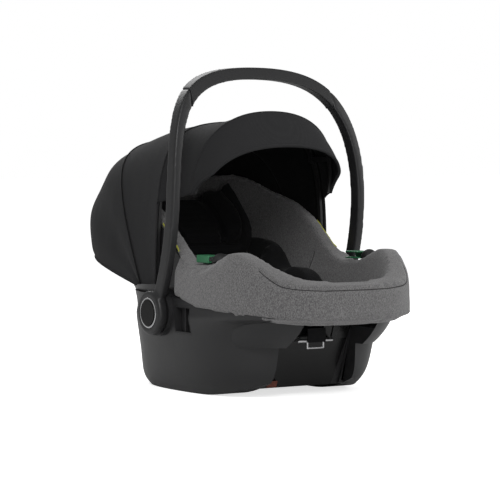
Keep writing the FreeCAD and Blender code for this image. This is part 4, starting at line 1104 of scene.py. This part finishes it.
class CARSEAT_OT_plastics(bpy.types.Operator):
    """Finishes of the moulded and metal pieces"""
    bl_idname = "carseat.plastics"
    bl_label = "Plastics and metal"

    def execute(self, context):
        tones = settings().plastics
        plastic = moulded_plastic
        shell = plastic("shell_plastic", tones.shell, gloss=0.42, grain=1100.0, wear=0.35)
        # Painted shade: the shell's colour is darkened in its front recess.
        paint_recess_shade(shell)
        finishes = {
            shell: ["outer_shell"],
            plastic("gloss_black", tones.gloss, gloss=0.3, grain=300.0, wear=0.1, bump=0.00003, shine=0.12): [
                "buckle_housing", "adjuster_housing", *both("hub_button", "buckle_tongue")],
            trim_plastic(): ["main_bow", "visor_bow", *both("adapter_socket")],
            plastic("release_red", tones.release, gloss=0.25, grain=600.0, wear=0.1, coat=0.3): [
                "buckle_button", "adjuster_button"],
            plastic("tab_brown", tones.tab, gloss=0.4, grain=600.0, wear=0.1): ["lock_tab"],
            plastic("panel_plastic", tones.gloss, gloss=0.25): ["recess_panel"],
            plastic("lever_silver", tones.steel, gloss=0.3, grain=1500.0, wear=0.1, bump=0.00005, coat=0.3):
                both("release_lever"),
            plastic("foam_beads", TRIM_BLACK, gloss=0.75, grain=250.0, bump=0.0006): ["foam_liner"],
            bare_metal("bright_ring", tones.steel, 0.14): both("hub_ring"),
            bare_metal("brushed_steel", tones.steel, 0.3): [
                "dock_bar", "lock_bar_front", "lock_bar_back", *both("pivot_pin")],
        }
        for material, nodes in finishes.items():
            for node in nodes:
                finish(frame["nodes"][node].data, material)
        return {"FINISHED"}


# ---- studio --------------------------------------------------------------------------------
class CARSEAT_OT_studio(bpy.types.Operator):
    """Pale floor, soft light and the camera"""
    bl_idname = "carseat.studio"
    bl_label = "Studio"

    def execute(self, context):
        context.scene.view_settings.view_transform = "Standard"
        self.floor(context.scene)
        self.world(context.scene)
        self.lamps(context.scene)
        self.camera(context.scene)
        return {"FINISHED"}

    def floor(self, scene):
        def wire(net):
            speck = net.math("MULTIPLY", net.noise(net.place(), 40.0), 0.02)
            return {"Base Color": net.mix(speck, settings().studio.floor, (0.8, 0.8, 0.8)), "Roughness": 0.9}
        material = look("floor_paper", wire)
        net = Net(material.node_tree)
        paper = net.tree.nodes["Principled BSDF"].outputs[0]
        glow = net.node("Emission", {"Color": WHITE, "Strength": 0.7})[0]
        net.show(paper, net.node("AddShader", {0: paper, 1: glow})[0], "Material Output")
        plane = bmesh.new()
        bmesh.ops.create_grid(plane, x_segments=2, y_segments=2, size=30.0)
        floor = bpy.data.objects.new("floor", mesh_of(plane, "floor"))
        floor.location.z = -0.0005
        scene.collection.objects.link(floor)
        floor.data.materials.append(material)

    def world(self, scene):
        """A dim white sky that the camera sees as plain white."""
        scene.world = bpy.data.worlds.new("studio")
        scene.world.use_nodes = True
        net = Net(scene.world.node_tree)
        back = net.tree.nodes["Background"]
        net.feed(back.inputs["Color"], WHITE)
        net.feed(back.inputs["Strength"], 0.42)
        white = net.node("Background", {"Color": WHITE, "Strength": 1.0})[0]
        net.show(back.outputs[0], white, "World Output")

    def lamps(self, scene):
        middle = Vector((0.0, 0.0, 0.28))
        for name, place, size, power in (
                ("key", (-1.5, -2.1, 2.2), 1.6, 52.0), ("fill", (2.2, -1.6, 1.2), 1.8, 22.0),
                ("front", (-1.3, -2.8, 0.6), 1.0, 9.0), ("rim_light", (0.4, 2.0, 1.9), 1.4, 26.0)):
            lamp = bpy.data.lights.new(name, "AREA")
            lamp.size = size
            lamp.energy = power
            holder = bpy.data.objects.new(name, lamp)
            holder.location = place
            holder.rotation_euler = (middle - Vector(place)).to_track_quat("-Z", "Y").to_euler()
            scene.collection.objects.link(holder)

    def camera(self, scene):
        studio = settings().studio
        aim = Vector((-0.0078, -0.0203, 0.2498))
        away = Vector((math.sin(studio.azimuth) * math.cos(studio.elevation),
                       -math.cos(studio.azimuth) * math.cos(studio.elevation), math.sin(studio.elevation)))
        data = bpy.data.cameras.new("camera")
        data.lens = studio.lens
        data.sensor_width = 36.0
        data.clip_end = 60.0
        camera = bpy.data.objects.new("camera", data)
        camera.location = aim + away * studio.distance
        camera.rotation_euler = (-away).to_track_quat("-Z", "Y").to_euler()
        scene.collection.objects.link(camera)
        scene.camera = camera


class CARSEAT_PT_panel(bpy.types.Panel):
    """Car seat building steps and settings"""
    bl_idname = "CARSEAT_PT_panel"
    bl_label = "Infant Car Seat"
    bl_space_type = "VIEW_3D"
    bl_region_type = "UI"
    bl_category = "Car Seat"

    def draw(self, context):
        for step in STEPS:
            self.layout.operator(step.bl_idname)
        for part in ("fabrics", "padding", "plastics", "studio"):
            box = self.layout.box()
            group = getattr(context.scene.car_seat, part)
            for name in group.__annotations__:
                box.prop(group, name)


STEPS = (CARSEAT_OT_studio, CARSEAT_OT_plastics, CARSEAT_OT_handle, CARSEAT_OT_guides, CARSEAT_OT_canopy,
         CARSEAT_OT_visor, CARSEAT_OT_rim, CARSEAT_OT_insert, CARSEAT_OT_wings,
         CARSEAT_OT_harness, CARSEAT_OT_bindings)
CLASSES = (CARSEAT_PG_fabrics, CARSEAT_PG_padding, CARSEAT_PG_plastics, CARSEAT_PG_studio,
           CARSEAT_PG_settings) + STEPS + (CARSEAT_PT_panel,)


def register():
    for cls in CLASSES:
        bpy.utils.register_class(cls)
    bpy.types.Scene.car_seat = PointerProperty(type=CARSEAT_PG_settings, name="Car seat",
                                               description="Settings of the infant car seat")


def unregister():
    del bpy.types.Scene.car_seat
    for cls in reversed(CLASSES):
        bpy.utils.unregister_class(cls)


def main():
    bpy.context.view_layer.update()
    register()
    for step in STEPS:
        group, name = step.bl_idname.split(".")
        getattr(getattr(bpy.ops, group), name)()
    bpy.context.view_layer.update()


if __name__ == "__main__":
    main()
